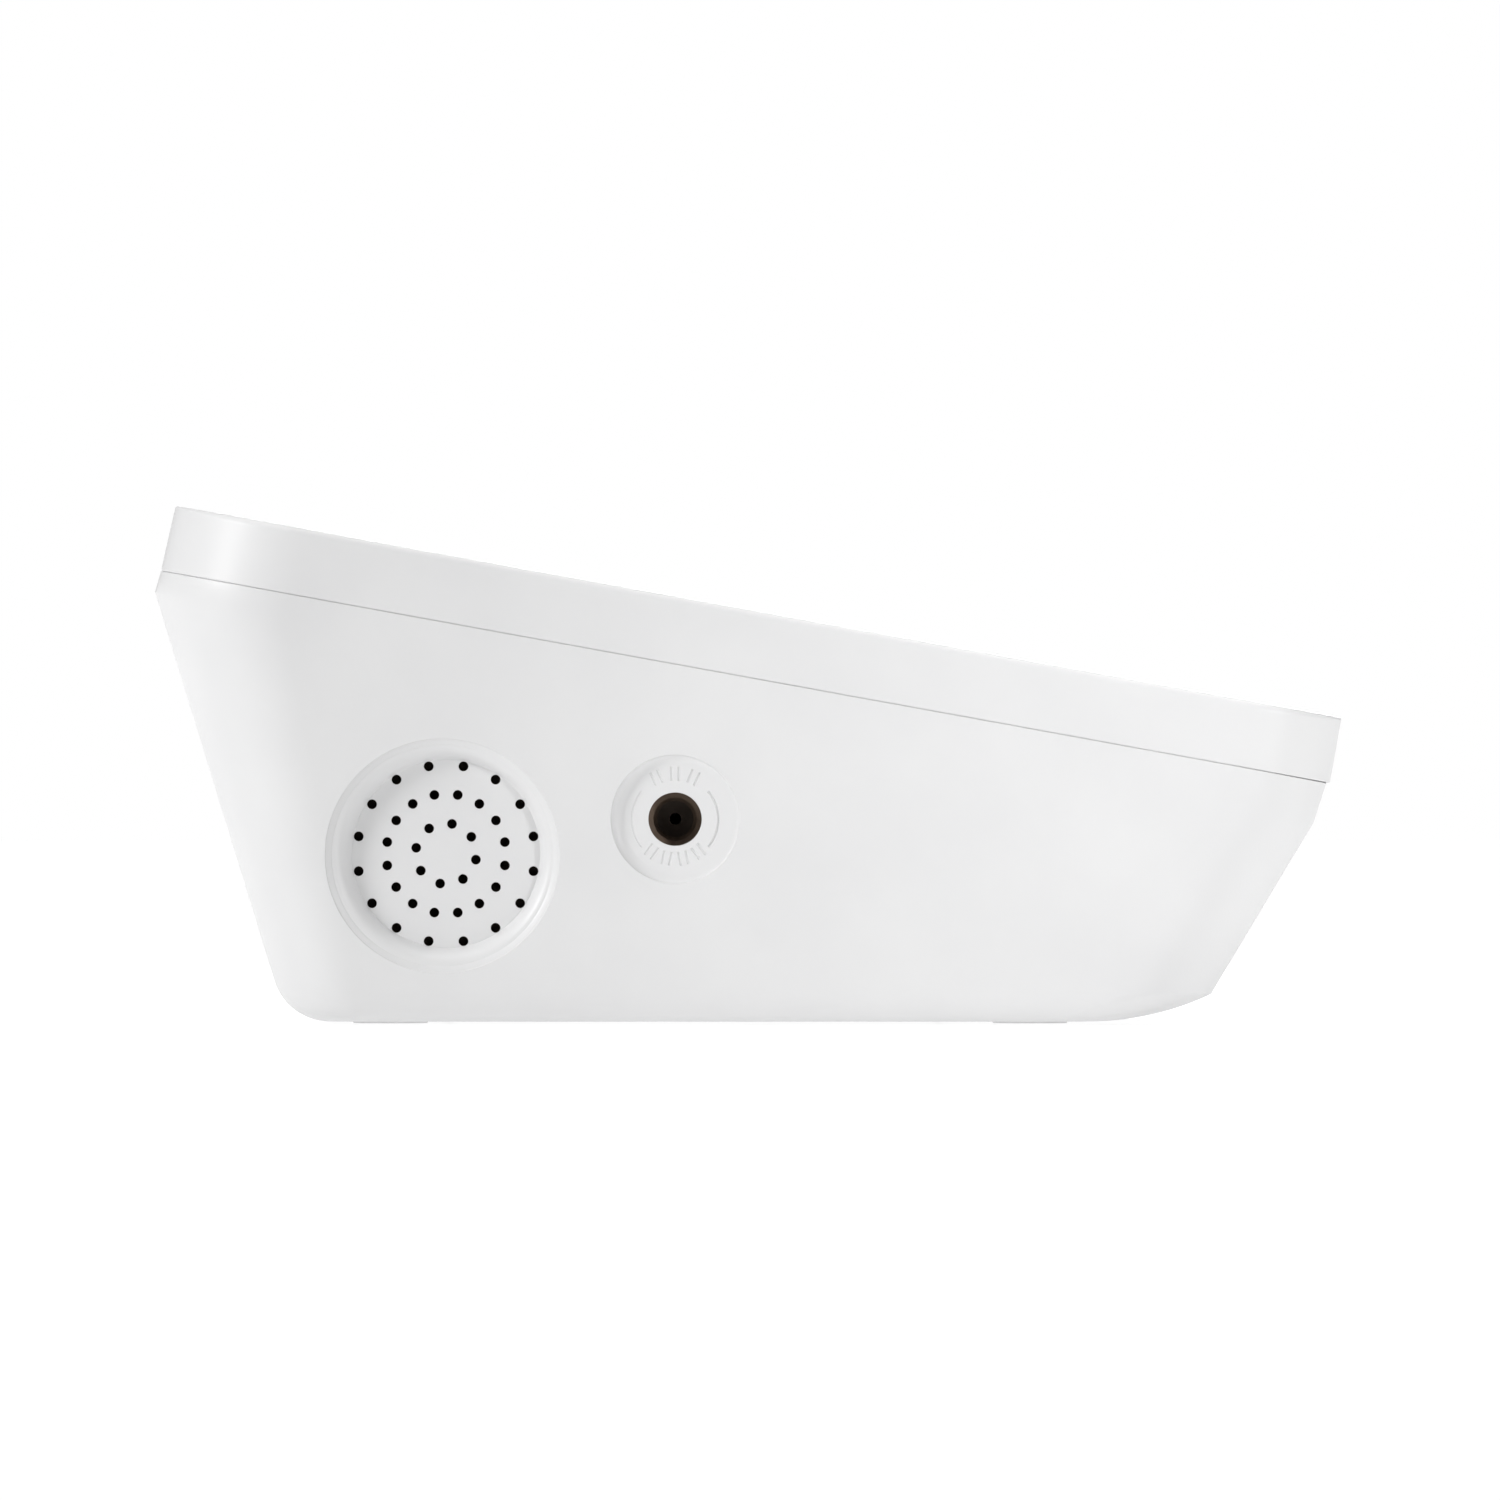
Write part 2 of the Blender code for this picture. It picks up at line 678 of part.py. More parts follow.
def key(name, x, half_x, half_y, deck, plastic, dark, metal):
    """A push key with its stem, and the switch under it. Every piece's origin is on the key's axis."""
    place = (x, KEY_LINE, 0.0)
    cap = slab(f"{name}_key", key_outline(half_x, half_y), -KEY_HEIGHT, 0.0, plastic, deck)
    placed(cap, place)
    stem = turned(f"{name}_stem", ((1.8, 0.7 - KEY_HEIGHT), (1.8, STEM_END)), parent=deck, sides=12)
    join(cap, placed(stem, place))
    half = SWITCH_SIDE / 2
    housing_top = BOARD_TOP + SWITCH_HEIGHT
    switch = box(f"{name}_switch", (-half, -half, BOARD_TOP + 0.05), (half, half, housing_top), dark, deck)
    placed(switch, place)
    well_profile = ((1.6, housing_top + 1.0), (1.6, housing_top - 1.8))
    well = turned(f"{name}_switch_cutter", well_profile, parent=deck, sides=12)
    cut(switch, placed(well, place))
    plunger_profile = ((1.4, STEM_END - 0.1), (1.4, housing_top - 0.9))
    plunger = turned(f"{name}_plunger", plunger_profile, metal, deck, sides=12)
    placed(plunger, place)


def display_stack(deck):
    glass = material("lcd_glass", (0.42, 0.47, 0.42), 0.15)
    white = material("backlight_white", (0.85, 0.86, 0.88), 0.4)
    frame_plastic = material("frame_plastic", (0.75, 0.76, 0.77), 0.5)
    elastomer = material("elastomer", (0.55, 0.35, 0.4), 0.7)
    box("lcd_panel", (-35.0, 58.0, -4.9), (35.0, 122.0, -2.6), glass, deck)
    box("lcd_backlight", (-34.0, 62.0, -8.2), (34.0, 121.0, -5.2), white, deck)
    frame = box("lcd_frame", (-37.0, 54.0, -10.3), (37.0, 124.5, -3.2), frame_plastic, deck)
    well = box("lcd_frame_cutter", (-35.3, 57.7, -11.0), (35.3, 122.3, -2.0), parent=deck)
    cut(frame, well)
    box("zebra_strip", (-32.0, 58.3, -10.3), (32.0, 60.8, -5.2), elastomer, deck)


def electronics(deck):
    laminate = material("green_laminate", (0.03, 0.22, 0.1), 0.45)
    chip_black = material("chip_black", (0.02, 0.02, 0.022), 0.5)
    can = material("plated_steel", (0.6, 0.6, 0.62), 0.3, 1.0)
    bottom = BOARD_TOP - BOARD_THICKNESS
    outline = rounded_outline(46.0, 9.0, 130.0, 4.0, 10.0, 3)
    board = slab("main_board", outline, bottom, BOARD_TOP, laminate, deck)
    above, below = BOARD_TOP + 5.0, bottom - 5.0
    post_hole, screw_hole = POST_RADIUS + 0.6, 1.25
    holes = at_each(CASE_POSTS, ((post_hole, above), (post_hole, below)), 16)
    holes += at_each(BOARD_POSTS, ((screw_hole, above), (screw_hole, below)), 10)
    cut(board, merged("board_hole_cutter", holes, deck))
    box("controller_chip", (-6.0, 84.0, bottom - 1.5), (6.0, 96.0, bottom - 0.05), chip_black, deck)
    capacitor = turned("filter_capacitor", ((3.2, bottom - 0.1), (3.2, bottom - 8.0)), can, deck, 16)
    placed(capacitor, (-20.0, 100.0, 0.0))
    sensor = box("pressure_sensor", (-5.0, -5.0, bottom - 3.6), (5.0, 5.0, bottom - 0.05), chip_black, deck)
    placed(sensor, (*SENSOR_AT, 0.0))
    barb_profile = ((BARB_RADIUS, bottom - 3.0), (BARB_RADIUS, bottom - 8.5))
    barb = turned("sensor_barb", barb_profile, parent=deck, sides=10)
    join(sensor, placed(barb, (*SENSOR_AT, 0.0)))
    for number, (x, along) in enumerate(BOARD_POSTS, 1):
        screw(f"board_screw_{number}", (x, along, bottom - GAP), 1.9, 1.3, 0.75, 6.0, can, deck)


def screw(name, place, head_radius, head_height, shank_radius, length, mat, parent):
    """A pan-head screw driven upwards, with a cross recess. Its place is under the head."""
    profile = (
        (shank_radius * 0.3, length), (shank_radius, length - 0.8), (shank_radius, 0.0), (head_radius, 0.0),
        (head_radius, -head_height * 0.5), (head_radius * 0.7, -head_height),
    )
    body = turned(name, profile, mat, parent, sides=12)
    placed(body, place)
    arm = head_radius * 0.6
    slots = [
        box("slot", (-arm, -0.25, -head_height - 1.0), (arm, 0.25, -head_height * 0.45)),
        box("slot", (-0.25, -arm, -head_height - 1.0), (0.25, arm, -head_height * 0.45)),
    ]
    for number, slot in enumerate(slots):
        slot.name = f"{name}_slot_{number}"
        slot.parent = parent
        cut(body, placed(slot, place))


def case_screws(deck):
    steel = material("plated_steel", (0.6, 0.6, 0.62), 0.3, 1.0)
    under_head = POST_END - SCREW_SEAT - GAP
    for number, (x, along) in enumerate(CASE_POSTS, 1):
        screw(f"case_screw_{number}", (x, along, under_head), 2.7, 2.0, 1.3, 10.0, steel, deck)


def feet():
    rubber = material("foot_rubber", (0.35, 0.35, 0.36), 0.8)
    for number, (x, y) in enumerate(FOOT_PLACES, 1):
        profile = ((FOOT_RADIUS, FOOT_TOP), (FOOT_RADIUS, 0.15), (FOOT_RADIUS - 0.2, 0.0))
        foot = turned(f"rubber_foot_{number}", profile, rubber, sides=20)
        placed(foot, (x, y, 0.0))


# ---------------------------------------------------------------- speaker and cuff socket

def speaker_unit(seat):
    frame_metal = material("speaker_steel", (0.45, 0.45, 0.46), 0.35, 1.0)
    magnet = material("magnet", (0.12, 0.12, 0.13), 0.5, 0.6)
    paper = material("speaker_cone", (0.06, 0.06, 0.065), 0.7)
    foam = material("gasket_foam", (0.08, 0.08, 0.08), 0.9)
    face = -DISH_DEPTH - GRILLE_THICKNESS - GAP
    rim_radius = DISH_RADIUS
    gasket_end = face - 0.8
    gasket = ((rim_radius, face), (rim_radius, gasket_end), (12.4, gasket_end), (12.4, face))
    turned("speaker_gasket", gasket, foam, seat, 32, capped=False)
    rim = gasket_end - 0.1
    basket = (
        (rim_radius, rim), (rim_radius, rim - 1.0), (10.6, rim - 4.4), (7.0, rim - 4.4),
        (7.0, rim - 3.8), (10.1, rim - 3.8), (12.6, rim - 1.2), (12.6, rim),
    )
    turned("speaker_frame", basket, frame_metal, seat, 32, capped=False)
    cone = (
        (3.4, rim - 2.9), (8.0, rim - 2.2), (12.3, rim - 0.6), (12.3, rim - 0.2),
        (11.9, rim - 0.2), (7.8, rim - 1.8), (3.0, rim - 2.5), (1.8, rim - 1.7),
    )
    turned("speaker_cone", cone, paper, seat, 24)
    turned("speaker_magnet", ((6.8, rim - 3.6), (6.8, rim - 7.4), (6.2, rim - 7.8)), magnet, seat, 24)


def cuff_socket(seat):
    """The air socket behind the wall: a flange, a barrel with the plug's bore, and a barb for the hose."""
    moulded = material("socket_grey", (0.06, 0.045, 0.035), 0.45)
    face = -WALL - GAP
    flange, barrel = 7.0, 5.0
    barrel_end = -17.2
    profile = (
        (SOCKET_BORE_RADIUS, face), (flange, face), (flange, face - 1.8), (barrel, face - 1.8),
        (barrel, barrel_end), (BARB_RADIUS, barrel_end - 0.4), (BARB_RADIUS, SOCKET_BARB_END),
        (BARB_BORE, SOCKET_BARB_END), (BARB_BORE, -SOCKET_BORE_DEPTH - 0.4),
        (SOCKET_BORE_RADIUS, -SOCKET_BORE_DEPTH),
    )
    turned("cuff_socket", profile, moulded, seat, 24, capped=False)


# ---------------------------------------------------------------- air system

def pump():
    steel = material("motor_steel", (0.55, 0.56, 0.58), 0.3, 1.0)
    moulded = material("pump_plastic", (0.02, 0.02, 0.02), 0.45)
    rubber = material("sleeve_rubber", (0.1, 0.1, 0.1), 0.85)
    brass = material("crank_brass", (0.7, 0.55, 0.25), 0.3, 1.0)
    diaphragm_rubber = material("diaphragm_rubber", (0.2, 0.2, 0.2), 0.8)
    seat = empty("pump_axis", (0.0, *PUMP_AT), (0.0, math.pi / 2, 0.0))
    bearing = MOTOR_FROM - 1.5
    motor = (
        (3.0, bearing), (3.0, MOTOR_FROM), (MOTOR_RADIUS, MOTOR_FROM), (MOTOR_RADIUS, MOTOR_TO),
        (3.5, MOTOR_TO), (3.5, MOTOR_TO + 1.6),
    )
    turned("pump_motor", motor, steel, seat, 28)
    end = MOTOR_FROM - GAP
    bore = HEAD_RADIUS - HEAD_WALL
    barb_end = HEAD_FROM - 5.0
    head = (
        (bore, end), (HEAD_RADIUS, end), (HEAD_RADIUS, HEAD_FROM), (BARB_RADIUS, HEAD_FROM - 0.4),
        (BARB_RADIUS, barb_end), (BARB_BORE, barb_end), (BARB_BORE, HEAD_FROM + 2.4),
        (bore, HEAD_FROM + 2.6),
    )
    turned("pump_head", head, moulded, seat, 28, capped=False)
    disc = bore - 0.3
    diaphragm = ((disc, HEAD_FROM + 5.0), (disc, HEAD_FROM + 6.6), (3.0, HEAD_FROM + 8.0))
    turned("pump_diaphragm", diaphragm, diaphragm_rubber, seat, 20)
    shaft, web = 0.95, 5.6
    crank_profile = ((shaft, bearing - 0.2), (shaft, -3.0), (web, -3.0), (web, -7.0))
    crank = turned("pump_crank", crank_profile, brass, seat, 20)
    pin = turned("crank_pin", ((1.0, -6.5), (1.0, -10.5)), parent=seat, sides=10)
    join(crank, placed(pin, (0.0, CRANK_THROW, 0.0)))
    inner, outer = MOTOR_RADIUS + GAP, MOTOR_RADIUS + 1.8
    sleeve = ((inner, 6.0), (outer, 6.0), (outer, 26.0), (inner, 26.0))
    turned("pump_sleeve", sleeve, rubber, seat, 28, capped=False)


def exhaust_valve():
    steel = material("motor_steel", (0.55, 0.56, 0.58), 0.3, 1.0)
    core = material("plated_steel", (0.6, 0.6, 0.62), 0.3, 1.0)
    seat = empty("valve_axis", VALVE_AT, (-math.pi / 2, 0.0, 0.0))
    body = box("valve_body", (-5.5, -5.5, 0.0), (5.5, 5.5, 18.0), steel, seat)
    bore = turned("valve_bore_cutter", ((2.6, 11.0), (2.6, -1.0)), parent=seat, sides=16)
    nozzle = turned("valve_nozzle", ((BARB_RADIUS, 22.5), (BARB_RADIUS, 17.0)), parent=seat, sides=10)
    cut(body, bore)
    join(body, nozzle)
    turned("valve_plunger", ((2.4, 9.2), (2.4, -1.2), (1.4, -1.6)), core, seat, 16)


def air_manifold():
    """A moulded cross that joins the pump, the valve, the sensor and the cuff socket."""
    moulded = material("frame_plastic", (0.75, 0.76, 0.77), 0.5)
    seat = empty("manifold_seat", MANIFOLD_AT)
    body = turned("air_manifold", ((3.0, 8.0), (3.0, -8.0)), moulded, seat, 16)
    body.rotation_euler = (0.0, math.pi / 2, 0.0)
    branches = (
        ("cuff", (0.0, 0.0, 0.0), (0.0, -math.pi / 2, 0.0), 13.5),
        ("pump", (5.0, 0.0, 0.0), (math.pi / 2, 0.0, 0.0), 8.5),
        ("valve", (-5.0, 0.0, 0.0), (math.pi / 2, 0.0, 0.0), 8.5),
        ("sensor", (0.0, 0.0, 0.0), (0.0, math.pi / 2, 0.0), 13.5),
    )
    for name, place, turn, reach in branches:
        barb = turned(f"{name}_branch", ((BARB_RADIUS, reach), (BARB_RADIUS, 1.0)), parent=seat, sides=10)
        join(body, placed(barb, place, turn))


def hoses():
    """Silicone hoses pushed over the barbs. Every end is straight for the length of its barb."""
    silicone = material("silicone_hose", (0.75, 0.76, 0.74), 0.35)
    x, y, z = MANIFOLD_AT
    socket_y, socket_z = SOCKET_AT
    hose("socket_hose", (
        (-HALF_WIDTH + 18.2, socket_y, socket_z), (-HALF_WIDTH + 22.5, socket_y, socket_z),
        (-HALF_WIDTH + 27.0, socket_y - 1.0, socket_z + 0.1), (x - 16.0, y + 0.6, z), (x - 12.5, y, z),
        (x - 8.6, y, z),
    ), HOSE_RADIUS, HOSE_BORE, silicone)
    pump_y, pump_z = PUMP_AT
    hose("pump_hose", (
        (HEAD_FROM - 1.0, pump_y, pump_z), (HEAD_FROM - 4.0, pump_y, pump_z),
        (HEAD_FROM - 7.0, pump_y, pump_z), (HEAD_FROM - 10.5, pump_y + 4.0, 20.0),
        (HEAD_FROM - 6.0, pump_y + 12.0, 25.0), (x - 9.0, y - 25.0, z), (x + 3.0, y - 18.0, z),
        (x + 5.0, y - 13.0, z), (x + 5.0, y - 9.0, z), (x + 5.0, y - 4.0, z),
    ), HOSE_RADIUS, HOSE_BORE, silicone)
    hose("sensor_hose", (
        (x + 8.6, y, z), (x + 13.0, y, z), (x + 18.5, y + 1.5, z), (x + 22.5, y + 5.5, z),
        (x + 24.0, y + 11.0, z + 0.4), (x + 24.0, y + 15.5, z + 1.8),
        deck_point(*SENSOR_AT, -24.5), deck_point(*SENSOR_AT, -20.5),
        deck_point(*SENSOR_AT, -16.4),
    ), HOSE_RADIUS, HOSE_BORE, silicone)
    valve_x, valve_y, valve_z = VALVE_AT
    hose("valve_hose", (
        (valve_x, valve_y + 18.6, valve_z), (valve_x, valve_y + 20.6, valve_z),
        (valve_x, valve_y + 22.4, valve_z + 0.3), (valve_x + 1.0, valve_y + 23.0, valve_z + 4.0),
        (valve_x + 4.0, valve_y + 22.0, valve_z + 10.0), (x - 25.0, y - 20.0, 25.0),
        (x - 14.0, y - 19.5, z), (x - 6.5, y - 15.0, z), (x - 5.0, y - 9.5, z),
        (x - 5.0, y - 4.0, z),
    ), HOSE_RADIUS, HOSE_BORE, silicone)


# ---------------------------------------------------------------- power

def cell_rows():
    """Each cell's x and the way its positive end points: 1 to the back, -1 to the front."""
    return [((i - 1.5) * CELL_PITCH, 1 if i % 2 == 0 else -1) for i in range(4)]


def cells():
    jacket = material("cell_jacket", (0.5, 0.42, 0.12), 0.35, 0.4)
    plate_front = BAY_FRONT + 0.3 + CONTACT_THICKNESS
    plate_back = BAY_BACK - 0.3 - CONTACT_THICKNESS
    button = 2.6
    profile = (
        (button, 0.0), (button, -1.3), (CELL_RADIUS - 0.6, -1.5), (CELL_RADIUS, -2.1),
        (CELL_RADIUS, -CELL_LENGTH + 0.4), (CELL_RADIUS - 0.4, -CELL_LENGTH),
    )
    for number, (x, way) in enumerate(cell_rows(), 1):
        cell = turned(f"cell_{number}", profile, jacket, sides=20)
        tip = plate_back - GAP if way > 0 else plate_front + GAP
        placed(cell, (x, tip, CELL_Z), (-way * math.pi / 2, 0.0, 0.0))


def contact_spring(name, length):
    """A conical coil on local Z, wide at the plate."""
    turns, steps = 3.0, 30
    path = []
    for i in range(steps + 1):
        share = i / steps
        angle = math.tau * turns * share
        radius = 4.6 - 2.0 * share
        path.append(Vector((radius * math.cos(angle), radius * math.sin(angle), share * length)))
    return lofted(name, rings_along(path, 0.35, 5))


def contacts():
    """Plated strips at the bay's ends, with a conical spring at each cell's negative end."""
    steel = material("plated_steel", (0.6, 0.6, 0.62), 0.3, 1.0)
    rows = cell_rows()
    groups = (
        ("front_left", -1, (0,)), ("front_middle", -1, (1, 2)), ("front_right", -1, (3,)),
        ("back_left", 1, (0, 1)), ("back_right", 1, (2, 3)),
    )
    spring_length = BAY_BACK - BAY_FRONT - 0.6 - 2 * CONTACT_THICKNESS - CELL_LENGTH - 2 * GAP - 0.4
    for name, end, members in groups:
        outer = BAY_BACK - 0.3 if end > 0 else BAY_FRONT + 0.3
        inner = outer - end * CONTACT_THICKNESS
        xs = [rows[i][0] for i in members]
        low = (min(xs) - 5.6, min(outer, inner), CELL_Z - 4.4)
        high = (max(xs) + 5.6, max(outer, inner), CELL_Z + 5.6)
        plate = box(f"contact_{name}", low, high, steel)
        for i in members:
            x, way = rows[i]
            if way == end:
                continue
            spring = contact_spring(f"{name}_spring_{i}", spring_length)
            placed(spring, (x, inner + end * 0.15, CELL_Z), (end * math.pi / 2, 0.0, 0.0))
            join(plate, spring)


def battery_door(plastic):
    """The door with its two tabs and its latch tongue. Its origin is on the edge it tilts about."""
    inner_x = BAY_X + DOOR_MARGIN - GAP
    front = BAY_FRONT - DOOR_MARGIN + GAP
    back = BAY_BACK + DOOR_MARGIN - GAP
    pivot = (0.0, BAY_FRONT - DOOR_MARGIN, FOOT_PROUD)

    def at(low, high, name):
        return box(name, [a - b for a, b in zip(low, pivot)], [a - b for a, b in zip(high, pivot)], plastic)

    top = FOOT_PROUD + DOOR_THICKNESS
    door = at((-inner_x, front, FOOT_PROUD), (inner_x, back, top), "battery_door")
    placed(door, pivot)
    for name, x in (("left", -DOOR_TAB_X), ("right", DOOR_TAB_X)):
        near, far = x - DOOR_TAB_HALF, x + DOOR_TAB_HALF
        riser_low = (near, BAY_FRONT + 0.4, top - 0.6)
        riser = at(riser_low, (far, BAY_FRONT + 1.8, FLOOR_Z + 1.8), f"{name}_riser")
        tab_low = (near, BAY_FRONT - 2.9, FLOOR_Z + 0.5)
        tab = at(tab_low, (far, BAY_FRONT + 1.0, FLOOR_Z + 1.6), f"{name}_tab")
        join(door, placed(riser, pivot), placed(tab, pivot))
    tongue = at((-5.5, BAY_BACK - 1.7, top - 0.6), (5.5, BAY_BACK - 0.6, 5.4), "latch_tongue")
    join(door, placed(tongue, pivot))


def power_inlet():
    moulded = material("inlet_black", (0.02, 0.02, 0.02), 0.4)
    seat = bpy.data.objects["inlet_seat"]
    bore_radius = 2.75
    behind_wall = -WALL - GAP
    back = -12.5
    profile = ((bore_radius, -0.4), (INLET_RADIUS, -0.4), (INLET_RADIUS, behind_wall),
               (INLET_RADIUS + 1.2, behind_wall), (INLET_RADIUS + 1.2, back))
    jack = turned("power_inlet", profile, moulded, seat, 20)
    bore_profile = ((bore_radius, 1.0), (bore_radius, back + 2.0))
    bore = turned("inlet_bore_cutter", bore_profile, parent=seat, sides=20)
    cut(jack, bore)
    pin = turned("inlet_pin", ((0.6, -1.6), (0.95, -2.2), (0.95, -11.0)), parent=seat, sides=10)
    join(jack, pin)


def leads():
    red = material("lead_red", (0.55, 0.03, 0.03), 0.5)
    grey = material("lead_grey", (0.15, 0.15, 0.16), 0.5)
    lead("speaker_lead", (
        (-41.0, 48.0, 24.5), (-41.6, 46.5, 30.0), (-40.0, 42.0, 36.0),
        (-38.0, 36.0, 38.5), (-37.5, 34.0, 43.0),
    ), LEAD_RADIUS, grey)
    lead("pump_lead", (
        (35.0, -38.5, 17.0), (38.0, -35.0, 19.5), (37.5, -29.0, 25.0),
        (35.0, -24.0, 28.0), (34.0, -22.0, 32.0),
    ), LEAD_RADIUS, red)


# ---------------------------------------------------------------- the whole monitor

def main():
    clear_scene()
    white = material("white_abs", (0.86, 0.86, 0.87), 0.35)
    blue = material("start_blue", (0.05, 0.2, 0.45), 0.35)
    grey = material("key_grey", (0.55, 0.57, 0.6), 0.4)
    dark = material("switch_black", (0.02, 0.02, 0.02), 0.5)
    steel = material("plated_steel", (0.6, 0.6, 0.62), 0.3, 1.0)
    deck = empty("deck", (0.0, DECK_FRONT_Y, DECK_FRONT_Z), (DECK_SLOPE, 0.0, 0.0))
    speaker_seat, socket_seat = lower_shell(white, deck)
    upper_cover(white, deck)
    display_window(deck)
    for name, x, half_x, half_y in KEYS:
        key(name, x, half_x, half_y, deck, blue if name == "start" else grey, dark, steel)
    display_stack(deck)
    electronics(deck)
    case_screws(deck)
    feet()
    speaker_unit(speaker_seat)
    cuff_socket(socket_seat)
    pump()
    exhaust_valve()
    air_manifold()
    hoses()
    cells()
    contacts()
    battery_door(white)
    power_inlet()
    leads()


main()
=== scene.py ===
"""Looks of the desktop blood pressure monitor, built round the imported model.

The case mouldings, keys, window, display glass, battery door, cells, contacts, feet, cuff socket and power
inlet are built again here with fine edges, and stand for their CAD nodes. Every other node keeps its CAD
shape and gets a procedural material. Sizes are in millimetres, and the mesh builders turn them into metres.
The studio's places are in metres.
"""

import math

import bmesh
import bpy
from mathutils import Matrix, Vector


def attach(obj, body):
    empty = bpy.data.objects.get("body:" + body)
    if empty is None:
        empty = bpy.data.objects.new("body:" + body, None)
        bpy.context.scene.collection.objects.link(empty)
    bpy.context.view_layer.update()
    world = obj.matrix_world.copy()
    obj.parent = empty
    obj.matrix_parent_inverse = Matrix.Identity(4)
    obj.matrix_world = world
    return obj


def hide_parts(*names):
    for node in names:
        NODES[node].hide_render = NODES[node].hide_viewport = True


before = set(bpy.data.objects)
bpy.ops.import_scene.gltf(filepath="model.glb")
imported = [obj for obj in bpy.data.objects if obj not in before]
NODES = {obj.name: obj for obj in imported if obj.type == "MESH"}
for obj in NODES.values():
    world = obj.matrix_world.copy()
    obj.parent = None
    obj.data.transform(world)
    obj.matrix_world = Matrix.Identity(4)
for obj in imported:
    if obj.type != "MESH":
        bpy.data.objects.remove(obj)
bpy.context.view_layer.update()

MM = 0.001
GAP = 0.3

# The studio, in metres and watts.
CAMERA_DISTANCE = 4.0
CAMERA_Y = -0.0003
CAMERA_Z = 0.0329
SEEN_WIDTH = 0.180
SENSOR_WIDTH = 36.0
ROOM_GLOW = 0.2
MIDDLE = (0.0, 0.0, 0.03)
FRONT_OF_LEFT_WALL = (-0.053, -0.066, 0.043)
SUN_ANGLE = math.radians(55.0)
SPOT_ANGLE = math.radians(15.0)
SPOT_SOFTNESS = 0.08
SOFTBOX_SIDE = 0.35
FLOOR_HALF = 8.0
FLOOR_DROP = 0.0002
FLOOR_GREY = 0.35
FLOOR_GLOW = 0.74

# The case's driving sizes, as the CAD has them.
HALF_WIDTH = 53.0
DECK_SLOPE = math.radians(10.3)
DECK_FRONT_Y = -71.5
DECK_FRONT_Z = 36.8
DECK_LENGTH = 142.7
COVER_DEPTH = 8.0
BACK_DRAFT = math.radians(2.5)
WALL = 2.2
FOOT_PROUD = 0.25
FLOOR_Z = FOOT_PROUD + WALL
TONGUE_HEIGHT = 1.8
CORNER_BACK = 16.0
CORNER_BACK_LOW = 8.5
CORNER_FRONT = 11.0
BACK_LIP = (71.4, 51.9)
BACK_LEAN = math.radians(17.2)
BACK_RADIUS = 7.0
FRONT_STEP = 0.4
FRONT_BEND = (-68.1, 24.1)
FRONT_KNEE = (-66.7, 21.8)
FRONT_FOOT = (-56.3, 4.4)
FRONT_SWEEP_RADIUS = 34.4
FRONT_SWEEP_START_Y = -41.1
FRONT_SWEEP_ANGLE = math.radians(25.3)
SIDE_RADIUS = 4.0
SPEAKER_AT = (36.65, 20.2)
SOCKET_AT = (8.7, 24.6)
DISH_RADIUS = 14.0
DISH_FLOOR_RADIUS = 11.3
DISH_DEPTH = 2.6
DISH_SHIFT = (0.45, 0.24)
GRILLE_THICKNESS = 1.4
GRILLE_RINGS = ((3.65, 8, 33.75), (7.2, 16, 11.25), (10.7, 16, 11.25))
SOCKET_RECESS_RADIUS = 7.7
SOCKET_BORE_RADIUS = 3.2
WINDOW_X = 41.0
WINDOW_FROM = 50.0
WINDOW_TO = 131.0
WINDOW_THICKNESS = 1.2
WINDOW_LEDGE = 3.0
WINDOW_CORNER = 5.0
WINDOW_GAP = 0.15
KEY_LINE = 27.0
KEY_HEIGHT = 4.2
STEM_RADIUS = 1.8
STEM_END = -6.0
BOARD_TOP = -10.6
KEYS = (("start", 0.0, 17.0, 7.0), ("memory", -32.0, 6.5, 6.5), ("set", 32.0, 6.5, 6.5))
BAY_X = 30.8
BAY_FRONT = -22.0
BAY_BACK = 35.0
BAY_ROOF = 17.6
BAY_WALL = 1.8
DOOR_MARGIN = 1.2
DOOR_THICKNESS = 2.0
DOOR_TAB_X = 18.0
DOOR_TAB_HALF = 3.0
CASE_POSTS = ((-40.0, 19.0), (40.0, 19.0), (-45.5, 62.0), (45.5, 62.0))
POST_RADIUS = 3.6
POST_END = -30.0
LOWER_POST_RADIUS = 4.6
SCREW_SEAT = 3.0
CASE_PILOT = 1.35
BOARD_POSTS = ((-41.5, 40.0), (41.5, 124.0))
BOARD_POST_RADIUS = 2.6
HOOK_X = 25.0
HOOK_HALF = 4.0
HOOK_POCKET = (-10.9, -9.1)
FOOT_RADIUS = 4.5
FOOT_TOP = 0.65
FOOT_PLACES = tuple((side * 38.0, y) for y in (-34.0, 43.0) for side in (-1, 1))
SOCKET_BORE_DEPTH = 15.0
FLANGE_RADIUS = 7.0
BARREL_RADIUS = 5.0
BARREL_END = -17.2
BARB_RADIUS = 1.3
BARB_BORE = 0.7
BARB_END = -22.0
INLET_X = 14.0
INLET_Z = 21.0
INLET_RADIUS = 4.0
INLET_BODY_RADIUS = 5.2
INLET_BORE = 2.75
INLET_BACK = -12.5
CELL_PITCH = 15.2
CELL_RADIUS = 7.1
CELL_LENGTH = 50.5
CELL_Z = 10.2
CONTACT_THICKNESS = 0.4
BAY_CLEARANCE = 0.3

# How finely the curves are cut here.
CORNER_STEPS = 18
ROUND_STEPS = 14
DISH_SIDES = 144

